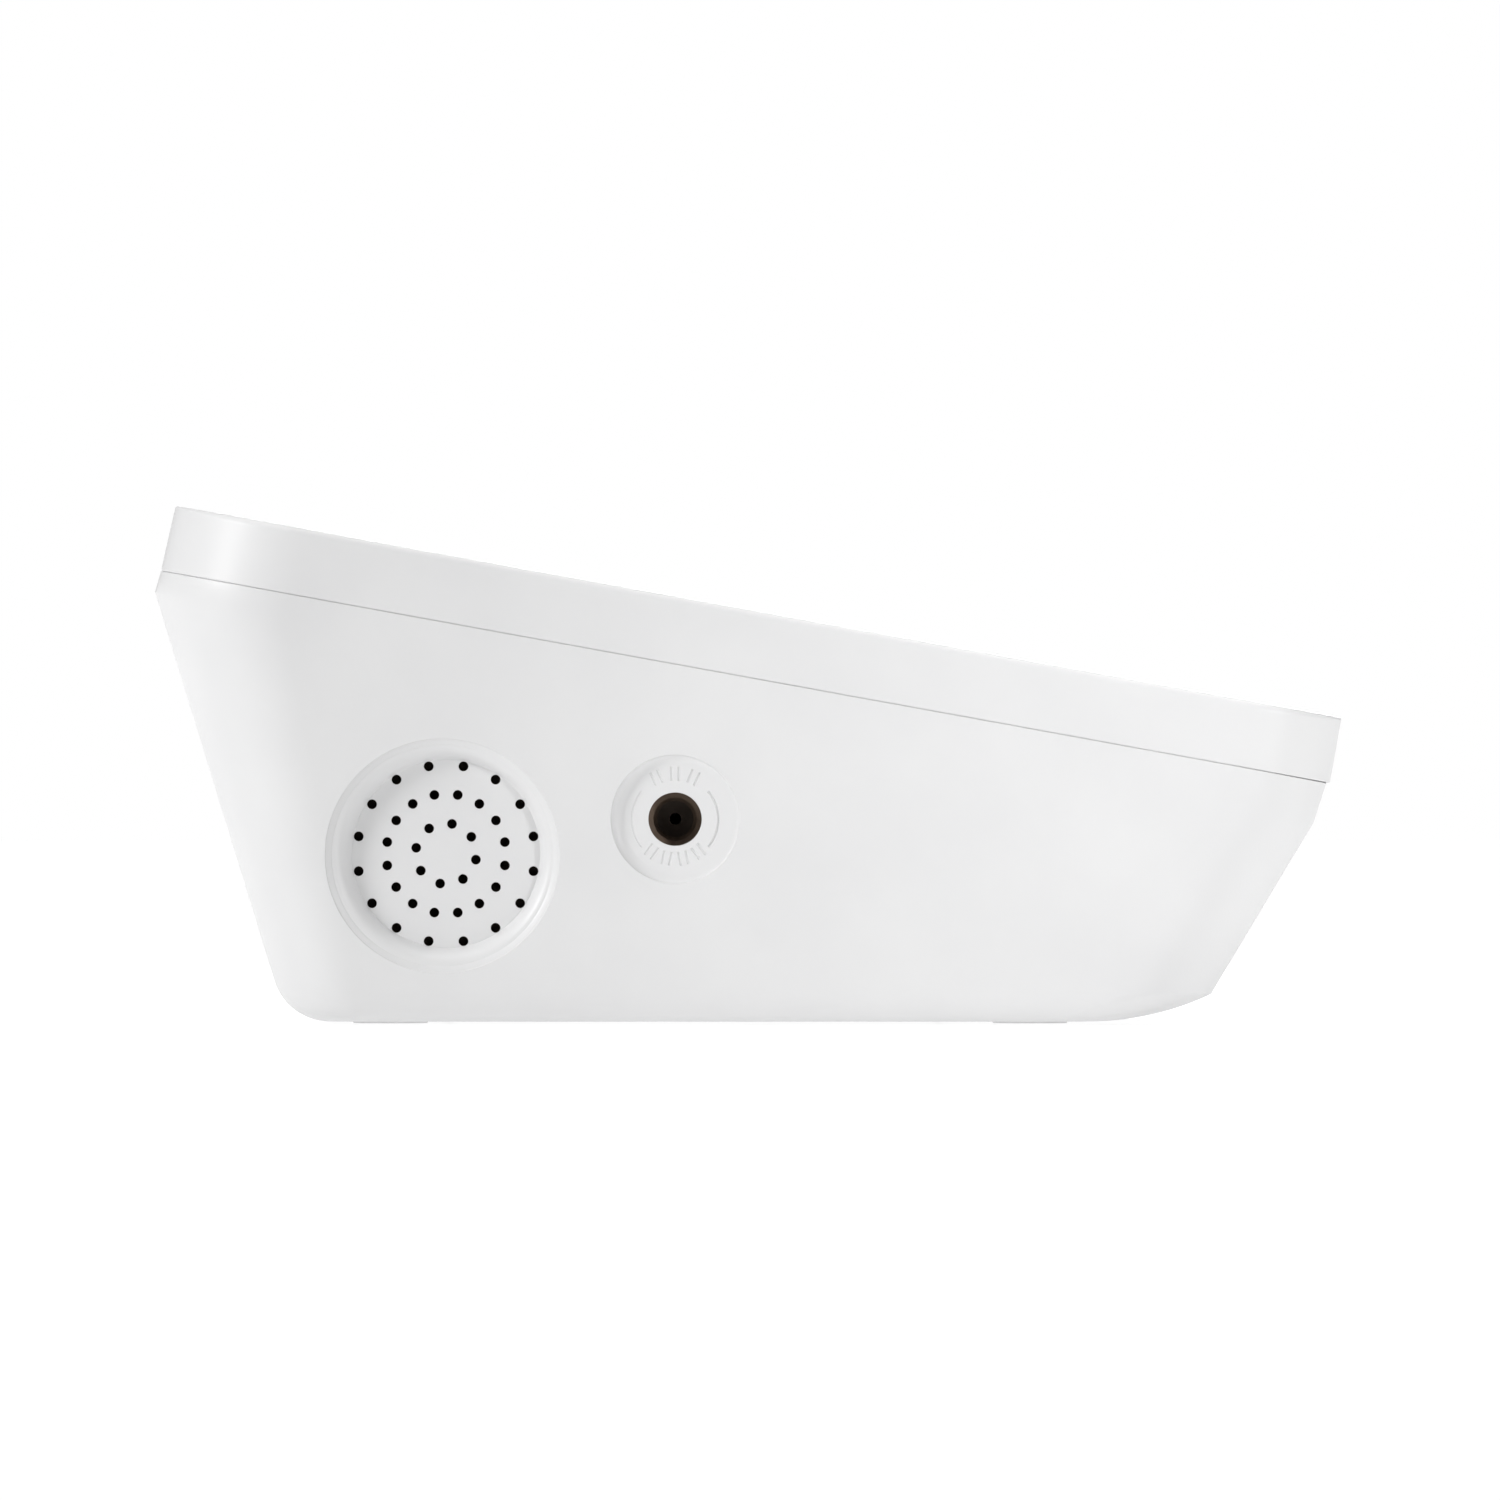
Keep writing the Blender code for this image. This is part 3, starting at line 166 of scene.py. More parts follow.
# Detail that differs from the CAD's. The seam is drawn closer and shallower, with eased edges.
SEAM_GAP = 0.05
TONGUE_INSET = 0.19
EDGE = 0.16
DOOR_EASE = 0.25
SHARP_ANGLE = math.radians(32.0)
END_EDGE_RADIUS = 0.35
SIDE_EDGE_RADIUS = 1.0
DISH_LAND_RADIUS = 13.4
DISH_LAND_DROP = 0.2
DISH_ROLL = math.radians(62.0)
GRILLE_HOLE_RADIUS = 0.59
SOCKET_RECESS_DEPTH = 1.0
SOCKET_FLOOR_LEAN = 0.05
ARC_RADIUS = 5.2
TICKS_ABOVE = (66, 90, 114)
TICKS_BELOW = (-54, -78, -102, -126)

# The display: its glass, what the window's border leaves open, and what it shows.
LCD_X = 35.0
LCD_FROM = 58.0
LCD_TO = 122.0
LCD_TOP = -2.6
LCD_BOTTOM = -4.9
SIGHT = (33.0, 60.0, 120.0, 2.0)
SEGMENTS = {"1": "bc", "2": "abdeg", "4": "bcfg", "6": "acdefg", "7": "abc", "8": "abcdefg"}
READINGS = (("118", 28.0, 99.5, 17.0), ("76", 28.0, 78.5, 17.0), ("64", 28.0, 64.0, 10.5))
RULES = (76.2, 97.6)


# ---------------------------------------------------------------- camera, light and floor

def studio():
    """A level camera to the left of the case, a white room, a soft sun from above and three soft lamps."""
    scene = bpy.context.scene
    scene.view_settings.view_transform = "Standard"
    camera_data = bpy.data.cameras.new("camera")
    camera_data.sensor_width = SENSOR_WIDTH
    camera_data.lens = SENSOR_WIDTH * (CAMERA_DISTANCE - HALF_WIDTH * MM) / SEEN_WIDTH
    camera_data.clip_start = 0.01
    camera_data.clip_end = 5 * CAMERA_DISTANCE
    camera = bpy.data.objects.new("camera", camera_data)
    camera.location = (-CAMERA_DISTANCE, CAMERA_Y, CAMERA_Z)
    camera.rotation_euler = (math.pi / 2, 0.0, -math.pi / 2)
    scene.collection.objects.link(camera)
    scene.camera = camera

    white_room(scene)
    light("overhead_sun", "SUN", (0.0, 0.0, 2.0), MIDDLE, 1.75)
    light("back_left_softbox", "AREA", (-0.5, 0.95, 0.5), MIDDLE, 7.5)
    light("right_softbox", "AREA", (0.95, -0.15, 0.4), MIDDLE, 5.0)
    light("front_spot", "SPOT", (-0.54, -0.44, 0.18), FRONT_OF_LEFT_WALL, 15.0)
    floor(scene)


def white_room(scene):
    """A world that lights softly and shows as plain white behind the object."""
    world = bpy.data.worlds.new("white_room")
    world.use_nodes = True
    tree = world.node_tree
    soft = tree.nodes["Background"]
    soft.inputs["Color"].default_value = (1.0, 1.0, 1.0, 1.0)
    soft.inputs["Strength"].default_value = ROOM_GLOW
    seen = tree.nodes.new("ShaderNodeBackground")
    seen.inputs["Color"].default_value = (1.0, 1.0, 1.0, 1.0)
    seen.inputs["Strength"].default_value = 1.0
    path = tree.nodes.new("ShaderNodeLightPath")
    mix = tree.nodes.new("ShaderNodeMixShader")
    tree.links.new(path.outputs["Is Camera Ray"], mix.inputs["Fac"])
    tree.links.new(soft.outputs["Background"], mix.inputs[1])
    tree.links.new(seen.outputs["Background"], mix.inputs[2])
    tree.links.new(mix.outputs["Shader"], tree.nodes["World Output"].inputs["Surface"])
    scene.world = world


def light(name, kind, place, target, power):
    """A soft lamp that points at its target and doesn't show itself."""
    data = bpy.data.lights.new(name, kind)
    data.energy = power
    if kind == "AREA":
        data.shape = "SQUARE"
        data.size = SOFTBOX_SIDE
    elif kind == "SPOT":
        data.spot_size = SPOT_ANGLE
        data.spot_blend = 1.0
        data.shadow_soft_size = SPOT_SOFTNESS
    else:
        data.angle = SUN_ANGLE
    obj = bpy.data.objects.new(name, data)
    obj.location = place
    aim = Vector(target) - Vector(place)
    obj.rotation_euler = aim.to_track_quat("-Z", "Y").to_euler()
    obj.visible_camera = False
    bpy.context.scene.collection.objects.link(obj)


def floor(scene):
    """A pale floor like a light table, flat and wide, a hair under the feet."""
    corners = [(x * FLOOR_HALF, y * FLOOR_HALF, 0.0) for x, y in ((-1, -1), (1, -1), (1, 1), (-1, 1))]
    mesh = bpy.data.meshes.new("studio_floor")
    mesh.from_pydata(corners, [], [(0, 1, 2, 3)])
    plane = bpy.data.objects.new("studio_floor", mesh)
    plane.location.z = -FLOOR_DROP
    scene.collection.objects.link(plane)
    pale = bpy.data.materials.new("studio_floor")
    pale.use_nodes = True
    shader = pale.node_tree.nodes["Principled BSDF"]
    shader.inputs["Base Color"].default_value = (FLOOR_GREY, FLOOR_GREY, FLOOR_GREY, 1.0)
    shader.inputs["Roughness"].default_value = 0.9
    shader.inputs["Emission Color"].default_value = (1.0, 1.0, 1.0, 1.0)
    shader.inputs["Emission Strength"].default_value = FLOOR_GLOW
    mesh.materials.append(pale)


# ---------------------------------------------------------------- mesh helpers

HELPERS = []


def object_from(name, points, faces, parent=None):
    """A mesh object from millimetre points and index faces, with its normals turned outwards."""
    mesh = bpy.data.meshes.new(name)
    mesh.from_pydata([Vector(point) * MM for point in points], [], faces)
    shape = bmesh.new()
    shape.from_mesh(mesh)
    bmesh.ops.remove_doubles(shape, verts=shape.verts, dist=1e-6)
    bmesh.ops.recalc_face_normals(shape, faces=shape.faces)
    shape.to_mesh(mesh)
    shape.free()
    return helper(name, mesh, parent)


def helper(name, data, parent=None):
    """An object that finished pieces are made from. All of them are removed at the end."""
    obj = bpy.data.objects.new(name, data)
    bpy.context.scene.collection.objects.link(obj)
    obj.parent = parent
    obj.hide_render = True
    HELPERS.append(obj)
    return obj


def empty(name, location, rotation=(0.0, 0.0, 0.0), parent=None):
    obj = helper(name, None, parent)
    obj.location = Vector(location) * MM
    obj.rotation_euler = rotation
    return obj


def bridge(count, lower, upper):
    """Quads between two rings that start at the point numbers lower and upper."""
    return [
        (lower + i, lower + (i + 1) % count, upper + (i + 1) % count, upper + i)
        for i in range(count)
    ]


def lofted(name, rings, parent=None, capped=True):
    """A skin over rings of equal point count, capped at both ends or closed on itself."""
    count = len(rings[0])
    points = [point for ring in rings for point in ring]
    faces = []
    for level in range(len(rings) - 1):
        faces += bridge(count, level * count, (level + 1) * count)
    last = (len(rings) - 1) * count
    if capped:
        faces.append(tuple(range(count)))
        faces.append(tuple(last + i for i in range(count)))
    else:
        faces += bridge(count, last, 0)
    return object_from(name, points, faces, parent)


def circle(radius, height, sides, centre=(0.0, 0.0)):
    return [
        (
            centre[0] + radius * math.cos(math.tau * i / sides),
            centre[1] + radius * math.sin(math.tau * i / sides),
            height,
        )
        for i in range(sides)
    ]


def turned(name, profile, parent=None, sides=64, capped=True):
    """A solid of revolution round local Z through (radius, height) points. Not capped, it is a ring."""
    rings = [circle(radius, height, sides) for radius, height in profile]
    return lofted(name, rings, parent, capped)


def box(name, low, high):
    x, y, z = zip(low, high)
    ring = ((0, 0), (1, 0), (1, 1), (0, 1))
    rings = [[(x[i], y[j], z[k]) for i, j in ring] for k in (0, 1)]
    return lofted(name, rings)


def outline_with_normals(half_x, y_from, y_to, front_radius, back_radius, steps):
    """A rectangle with round corners, as (x, y, normal x, normal y), from the front left corner."""
    corners = (
        (-half_x + front_radius, y_from + front_radius, front_radius, 180),
        (half_x - front_radius, y_from + front_radius, front_radius, 270),
        (half_x - back_radius, y_to - back_radius, back_radius, 0),
        (-half_x + back_radius, y_to - back_radius, back_radius, 90),
    )
    points = []
    for centre_x, centre_y, radius, start in corners:
        for i in range(steps + 1):
            angle = math.radians(start + 90 * i / steps)
            across, along = math.cos(angle), math.sin(angle)
            points.append((centre_x + radius * across, centre_y + radius * along, across, along))
    return points


def rounded_outline(half_x, y_from, y_to, front_radius, back_radius, steps=CORNER_STEPS):
    points = outline_with_normals(half_x, y_from, y_to, front_radius, back_radius, steps)
    return [point[:2] for point in points]


def pillar(name, half_x, y_from, y_to, radius, levels, parent=None, steps=CORNER_STEPS):
    """A rounded rectangle carried through (growth, height) levels, growth moving its outline outwards."""
    rings = []
    for growth, height in levels:
        size = (half_x + growth, y_from - growth, y_to + growth)
        outline = rounded_outline(*size, radius + growth, radius + growth, steps)
        rings.append([(x, y, height) for x, y in outline])
    return lofted(name, rings, parent)


def rounding(radius, steps, start, end):
    """(sideways, up) points round part of a circle, between two angles in degrees."""
    angles = [math.radians(start + (end - start) * i / steps) for i in range(steps + 1)]
    return [(radius * math.cos(angle), radius * math.sin(angle)) for angle in angles]


def combine(obj, other, operation):
    modifier = obj.modifiers.new(f"{operation.lower()} {other.name}", "BOOLEAN")
    modifier.operation = operation
    modifier.object = other
    modifier.solver = "EXACT"


def cut(obj, *cutters):
    for cutter in cutters:
        combine(obj, cutter, "DIFFERENCE")


def join(obj, *others):
    for other in others:
        combine(obj, other, "UNION")


def merged(name, pieces, parent=None):
    """One helper mesh holding several separate shapes, so that one Boolean takes them all."""
    shape = bmesh.new()
    for piece in pieces:
        mesh = piece.data.copy()
        mesh.transform(piece.matrix_basis)
        shape.from_mesh(mesh)
        HELPERS.remove(piece)
        bpy.data.objects.remove(piece)
    mesh = bpy.data.meshes.new(name)
    shape.to_mesh(mesh)
    shape.free()
    return helper(name, mesh, parent)


def placed(obj, location, rotation=(0.0, 0.0, 0.0)):
    obj.location = Vector(location) * MM
    obj.rotation_euler = rotation
    return obj


def at_each(places, profile, sides=64):
    """The same turned shape at every place in a list."""
    return [placed(turned("copy", profile, sides=sides), (x, y, 0.0)) for x, y in places]


def finished(shape, name, finish, body, nodes=()):
    """The helper's evaluated mesh as a piece of the object: shaded, painted and riding on its body."""
    bpy.context.view_layer.update()
    evaluated = shape.evaluated_get(bpy.context.evaluated_depsgraph_get())
    mesh = bpy.data.meshes.new_from_object(evaluated)
    mesh.transform(evaluated.matrix_world)
    mesh.name = name
    mesh.shade_smooth()
    mesh.set_sharp_from_angle(angle=SHARP_ANGLE)
    mesh.materials.clear()
    mesh.materials.append(finish)
    piece = bpy.data.objects.new(name, mesh)
    bpy.context.scene.collection.objects.link(piece)
    even = piece.modifiers.new("even shading", "WEIGHTED_NORMAL")
    even.keep_sharp = True
    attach(piece, body)
    if nodes:
        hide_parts(*nodes)


def clear_helpers():
    for obj in HELPERS:
        bpy.data.objects.remove(obj)
    HELPERS.clear()


# ---------------------------------------------------------------- the case's lines, as in the CAD

def offset_line(line, distance):
    """A (y, z) line moved to its left by a distance, with mitred bends."""
    moved = []
    for i, (y, z) in enumerate(line):
        normals = []
        for j in (i - 1, i):
            if 0 <= j < len(line) - 1:
                run = Vector((line[j + 1][0] - line[j][0], line[j + 1][1] - line[j][1])).normalized()
                normals.append(Vector((-run.y, run.x)))
        mean = sum(normals, Vector((0.0, 0.0))).normalized()
        scale = distance / mean.dot(normals[0])
        moved.append((y + mean.x * scale, z + mean.y * scale))
    return moved


def deck_point(x, along, height):
    """World place of a point given in the deck's frame."""
    y = DECK_FRONT_Y + along * math.cos(DECK_SLOPE) - height * math.sin(DECK_SLOPE)
    z = DECK_FRONT_Z + along * math.sin(DECK_SLOPE) + height * math.cos(DECK_SLOPE)
    return x, y, z


def seam_ends(inset=0.0):
    """The (y, z) ends of the seam on the centre line, moved towards each other by an inset."""
    back = DECK_LENGTH + COVER_DEPTH * math.tan(BACK_DRAFT)
    front_point = deck_point(0.0, FRONT_STEP + inset, -COVER_DEPTH)
    back_point = deck_point(0.0, back - inset, -COVER_DEPTH)
    return front_point[1:], back_point[1:]


def back_line():
    """The back edge of the side outline, from the flat bottom to the seam."""
    centre_z = FOOT_PROUD + BACK_RADIUS
    wall_y = BACK_LIP[0] - (BACK_LIP[1] - centre_z) * math.tan(BACK_LEAN)
    centre_y = wall_y - BACK_RADIUS / math.cos(BACK_LEAN)
    turn = math.pi / 2 - BACK_LEAN
    line = []
    for i in range(ROUND_STEPS + 1):
        angle = turn * i / ROUND_STEPS
        line.append((centre_y + BACK_RADIUS * math.sin(angle), centre_z - BACK_RADIUS * math.cos(angle)))
    start = Vector(line[-1])
    lip = Vector(BACK_LIP)
    line += [tuple(start.lerp(lip, share)) for share in (0.04, 0.71, 0.82)]
    return line + [BACK_LIP, seam_ends()[1]]


def front_line():
    """The front edge of the side outline, point for point beside back_line."""
    centre_z = FOOT_PROUD + FRONT_SWEEP_RADIUS
    line = []
    for i in range(ROUND_STEPS + 1):
        angle = FRONT_SWEEP_ANGLE * i / ROUND_STEPS
        line.append((
            FRONT_SWEEP_START_Y - FRONT_SWEEP_RADIUS * math.sin(angle),
            centre_z - FRONT_SWEEP_RADIUS * math.cos(angle),
        ))
    bend = Vector(FRONT_BEND)
    seam = seam_ends()[0]
    lip = tuple(bend.lerp(Vector(seam), 0.55))
    return line + [FRONT_FOOT, FRONT_KNEE, FRONT_BEND, lip, seam]


def section(front, back, shrink):
    """A ring round the case in the plane through a front and a back point, narrowed by shrink all round."""
    length = math.hypot(back[0] - front[0], back[1] - front[1])
    rise = min(max(back[1] / BACK_LIP[1], 0.0), 1.0)
    back_radius = CORNER_BACK_LOW + (CORNER_BACK - CORNER_BACK_LOW) * rise
    outline = rounded_outline(
        HALF_WIDTH - shrink, 0.0, length,
        max(CORNER_FRONT - shrink, 2.0), max(back_radius - shrink, 2.0),
    )
    ring = []
    for x, along in outline:
        share = along / length
        ring.append((x, front[0] + (back[0] - front[0]) * share, front[1] + (back[1] - front[1]) * share))
    return ring


def shell_rings(inset):
    front = offset_line(front_line(), -inset)
    back = offset_line(back_line(), inset)
    rings = []
    for i, (front_point, back_point) in enumerate(zip(front, back)):
        turn = math.pi / 2 * min(i, ROUND_STEPS) / ROUND_STEPS
        level_inset = (SIDE_RADIUS - min(inset, WALL)) * (1 - math.sin(turn))
        rings.append(section(front_point, back_point, inset + level_inset))
    return rings


def raised(ring, height):
    """A ring moved square to the deck."""
    return [(x, y - height * math.sin(DECK_SLOPE), z + height * math.cos(DECK_SLOPE)) for x, y, z in ring]


def seat_on_left_wall(name, place):
    """An empty on the left wall: its Z points out of the case, its Y up and its X to the front."""
    return empty(name, (-HALF_WIDTH, *place), (math.pi / 2, 0.0, -math.pi / 2))


# ---------------------------------------------------------------- lower shell

def dish_cutter(seat):
    """The speaker's dish: an eased edge, a narrow land, and a wall that rolls over to the flat floor."""
    levels = [(DISH_RADIUS + EDGE, 1.0, 0.0)]
    for side, down in rounding(EDGE, 4, 90, 180):
        levels.append((DISH_RADIUS + EDGE + side, down - EDGE, 0.0))
    levels.append((DISH_LAND_RADIUS, -EDGE - DISH_LAND_DROP, 0.1))
    roll_radius = DISH_LAND_RADIUS - 0.1
    roll_start = -EDGE - DISH_LAND_DROP - 0.08
    steps = 10
    for i in range(steps + 1):
        turn = DISH_ROLL * i / steps
        inward = math.sin(turn) / math.sin(DISH_ROLL)
        fall = (1 - math.cos(turn)) / (1 - math.cos(DISH_ROLL))
        radius = roll_radius - (roll_radius - DISH_FLOOR_RADIUS) * inward
        levels.append((radius, roll_start + (-DISH_DEPTH - roll_start) * fall, 0.1 + 0.9 * inward))
    rings = [
        circle(radius, height, DISH_SIDES, (DISH_SHIFT[0] * share, DISH_SHIFT[1] * share))
        for radius, height, share in levels
    ]
    return lofted("dish_cutter", rings, seat)


def grille_holes(seat):
    """The sound holes, each with a tiny countersink."""
    sink = 0.04
    profile = (
        (GRILLE_HOLE_RADIUS + sink, 1.0), (GRILLE_HOLE_RADIUS + sink, -DISH_DEPTH),
        (GRILLE_HOLE_RADIUS, -DISH_DEPTH - sink), (GRILLE_HOLE_RADIUS, -8.0),
    )
    places = []
    for radius, count, start in GRILLE_RINGS:
        for i in range(count):
            angle = math.radians(start) + math.tau * i / count
            x = DISH_SHIFT[0] + radius * math.cos(angle)
            y = DISH_SHIFT[1] + radius * math.sin(angle)
            places.append((x, y))
    return merged("grille_hole_cutter", at_each(places, profile, 20), seat)


def recess_depth(x):
    """How deep the socket's recess is at x: its floor leans, deeper to the back of the case."""
    return SOCKET_RECESS_DEPTH - SOCKET_FLOOR_LEAN * (x + SOCKET_RECESS_RADIUS)


def recess_cutter(seat):
    """The shallow round recess: an eased edge, and a wall that coves into the leaning floor."""
    def ring(place):
        points = []
        for i in range(DISH_SIDES):
            angle = math.tau * i / DISH_SIDES
            radius, height = place(recess_depth(SOCKET_RECESS_RADIUS * math.cos(angle)))
            points.append((radius * math.cos(angle), radius * math.sin(angle), height))
        return points

    rim = SOCKET_RECESS_RADIUS
    ease = 0.12
    rings = [ring(lambda depth: (rim + ease, 1.0)), ring(lambda depth: (rim + ease, 0.0))]
    rings.append(ring(lambda depth: (rim + ease * 0.3, -ease * 0.3)))
    steps = 8
    for i in range(steps + 1):
        turn = math.pi / 2 * i / steps

        def cove(depth, turn=turn):
            width = 0.35 + 1.25 * depth
            drop = depth - ease
            return rim - width * (1 - math.cos(turn)), -ease - drop * math.sin(turn)
        rings.append(ring(cove))
    return lofted("recess_cutter", rings, seat)


def groove(path, width, depth):
    """A cutter for an engraved line along (x, y) points, narrower at its bottom."""
    rings = []
    for i, point in enumerate(path):
        ahead = Vector(path[min(i + 1, len(path) - 1)]) - Vector(path[max(i - 1, 0)])
        ahead.normalize()
        side = Vector((-ahead.y, ahead.x))
        section_points = (
            (0.5 * width, 0.4), (0.5 * width, 0.0), (0.2 * width, -depth),
            (-0.2 * width, -depth), (-0.5 * width, 0.0), (-0.5 * width, 0.4),
        )
        rings.append([
            (point[0] + side.x * across, point[1] + side.y * across, height)
            for across, height in section_points
        ])
    return lofted("groove", rings)


def recess_engraving(seat):
    """Two arcs beside the bore, and plain paired ticks above and below it."""
    lean = (0.0, -math.atan(SOCKET_FLOOR_LEAN), 0.0)
    floor_seat = empty("recess_floor", (0.0, 0.0, -recess_depth(0.0)), lean, seat)
    marks = [groove(rounding(ARC_RADIUS, 24, start, start + 80), 0.32, 0.13) for start in (-40, 140)]
    ticks = [(angle, 4.6, 6.3) for angle in TICKS_ABOVE]
    ticks += [(angle, 3.95, 5.6) for angle in TICKS_BELOW]
    for angle, inner, outer in ticks:
        direction = Vector((math.cos(math.radians(angle)), math.sin(math.radians(angle))))
        side = Vector((-direction.y, direction.x))
        for shift in (-0.45, 0.45):
            radii = (inner, (inner + outer) / 2, outer)
            path = [tuple(direction * radius + side * shift) for radius in radii]
            marks.append(groove(path, 0.34, 0.12))
    return merged("engraving_cutter", marks, floor_seat)


def bore_cutter(seat):
    edge = recess_depth(0.0)
    ease = 0.06
    profile = (
        (SOCKET_BORE_RADIUS + ease, 1.0), (SOCKET_BORE_RADIUS + ease, -edge),
        (SOCKET_BORE_RADIUS + ease * 0.3, -edge - ease * 0.4), (SOCKET_BORE_RADIUS, -edge - ease),
        (SOCKET_BORE_RADIUS, -9.0),
    )
    return turned("socket_bore_cutter", profile, seat, 72)


def bay_pieces():
    """The battery bay's block, and the cutters for the bay, the door, its tabs and the fingertip notch."""
    outer_x = BAY_X + BAY_WALL + DOOR_MARGIN
    front = BAY_FRONT - BAY_WALL - DOOR_MARGIN
    back = BAY_BACK + BAY_WALL + DOOR_MARGIN
    block = box("bay_block", (-outer_x, front, 1.0), (outer_x, back, BAY_ROOF + BAY_WALL))
    bay = box("bay_cutter", (-BAY_X, BAY_FRONT, -1.0), (BAY_X, BAY_BACK, BAY_ROOF))
    roof = FOOT_PROUD + DOOR_THICKNESS + GAP
    opening = pillar(
        "door_opening_cutter",
        BAY_X + DOOR_MARGIN, BAY_FRONT - DOOR_MARGIN, BAY_BACK + DOOR_MARGIN, 1.0,
        (
            (DOOR_EASE, -1.0), (DOOR_EASE, FOOT_PROUD), (0.07, FOOT_PROUD + 0.07),
            (0.0, FOOT_PROUD + DOOR_EASE), (0.0, roof),
        ),
    )
    half = DOOR_TAB_HALF + 0.5
    slots = [
        box("slot", (x - half, BAY_FRONT - 5.0, FLOOR_Z), (x + half, BAY_FRONT + 1.0, FLOOR_Z + 2.3))
        for x in (-DOOR_TAB_X, DOOR_TAB_X)
    ]
    notch = placed(
        turned("notch", ((7.0, 8.0), (7.0, -8.0))),
        (0.0, BAY_BACK + DOOR_MARGIN + 1.5, FOOT_PROUD - 5.6),
        (0.0, math.pi / 2, 0.0),
    )
    return block, (bay, opening, merged("tab_slot_cutter", slots), notch)


def lower_posts(deck):
    """The screw posts that rise from the floor, cut off inside the outer skin."""
    profile = ((LOWER_POST_RADIUS, POST_END - GAP), (LOWER_POST_RADIUS, -62.0))
    posts = merged("lower_posts", at_each(CASE_POSTS, profile, 32), deck)
    combine(posts, lofted("post_trim", shell_rings(0.6)), "INTERSECT")
    return posts


def underside_cutters(deck):
    """Screw wells and the pockets that the feet sit in, with eased rims."""
    shank, head = 1.7, 3.1
    seat = POST_END - SCREW_SEAT
    well = ((shank, POST_END + 2.0), (shank, seat), (head, seat), (head, -70.0))
    radius = FOOT_RADIUS + GAP
    rim = radius + 0.15
    pad = ((radius, FOOT_TOP + GAP), (radius, 0.4), (rim, FOOT_PROUD), (rim, -1.0))
    wells = merged("well_cutter", at_each(CASE_POSTS, well, 32), deck)
    return wells, merged("pad_cutter", at_each(FOOT_PLACES, pad))


def hook_pockets(deck):
    """Pockets in the back wall for the noses of the cover's two hooks."""
    half = HOOK_HALF + GAP
    low = (-half, DECK_LENGTH - 3.7, HOOK_POCKET[0])
    high = (half, DECK_LENGTH - 0.9, HOOK_POCKET[1])
    pockets = [placed(box("pocket", low, high), (x, 0.0, 0.0)) for x in (-HOOK_X, HOOK_X)]
    return merged("hook_pocket_cutter", pockets, deck)


def inlet_seat():
    """The power inlet's empty: Z points out of the back wall."""
    at_y = BACK_LIP[0] - (BACK_LIP[1] - INLET_Z) * math.tan(BACK_LEAN)
    return empty("inlet_seat", (INLET_X, at_y, INLET_Z), (math.pi / 2 + BACK_LEAN, 0.0, math.pi))


def lower_shell(white, deck):
    """The lower moulding: a skin of one wall's thickness with a tongue round its rim, its posts and cuts."""
    outer = shell_rings(0.0)
    inner = shell_rings(WALL)
    drop = -SEAM_GAP / 2
    outer.pop()
    eased = [
        raised(section(*seam_ends(EDGE - side), EDGE - side), drop - EDGE + up)
        for side, up in rounding(EDGE, 4, 0, 90)
    ]
    tongue = section(*seam_ends(TONGUE_INSET), TONGUE_INSET)
    inner_top = section(*seam_ends(WALL), WALL)
    rings = outer + eased
    rings += [raised(tongue, drop), raised(tongue, TONGUE_HEIGHT), raised(inner_top, TONGUE_HEIGHT)]
    shell = lofted("shell", rings + inner[::-1])

    speaker = seat_on_left_wall("speaker_seat", SPEAKER_AT)
    socket = seat_on_left_wall("socket_seat", SOCKET_AT)
    backing_radius = DISH_RADIUS + 2.0
    backing_profile = ((backing_radius, -1.0), (backing_radius, -DISH_DEPTH - GRILLE_THICKNESS))
    backing = turned("dish_backing", backing_profile, speaker)
    block, bay_cutters = bay_pieces()
    join(shell, backing, block)
    join(shell, lower_posts(deck))
    cut(shell, *bay_cutters)
    cut(shell, dish_cutter(speaker), grille_holes(speaker))
    cut(shell, recess_cutter(socket), recess_engraving(socket), bore_cutter(socket))
    radius = INLET_RADIUS + GAP
    rim = radius + 0.25
    inlet_profile = ((rim, 1.0), (rim, 0.0), (radius, -0.25), (radius, -6.0))
    inlet_hole = turned("inlet_cutter", inlet_profile, inlet_seat())
    cut(shell, *underside_cutters(deck), inlet_hole, hook_pockets(deck))
    finished(shell, "shell_moulding", white, "case", ["lower_shell"])


# ---------------------------------------------------------------- upper cover

def cover_ring(inset, height):
    back = DECK_LENGTH - height * math.tan(BACK_DRAFT)
    outline = rounded_outline(
        HALF_WIDTH - inset, inset, back - inset,
        max(CORNER_FRONT - inset, 1.5), max(CORNER_BACK - inset, 1.5),
    )
    return [(x, y, height) for x, y in outline]


def top_edge_ring(turn):
    """A ring on the cover's top edge, which is rounder along the sides than at the front and the back."""
    outline = outline_with_normals(HALF_WIDTH, 0.0, DECK_LENGTH, CORNER_FRONT, CORNER_BACK, CORNER_STEPS)
    ring = []
    for x, y, across, along in outline:
        radius = END_EDGE_RADIUS + (SIDE_EDGE_RADIUS - END_EDGE_RADIUS) * abs(across) ** 2
        inset = radius * (1 - math.cos(turn))
        height = -radius * (1 - math.sin(turn))
        draft = -height * math.tan(BACK_DRAFT) * max(along, 0.0)
        ring.append((x - across * inset, y - along * inset + draft, height))
    return ring


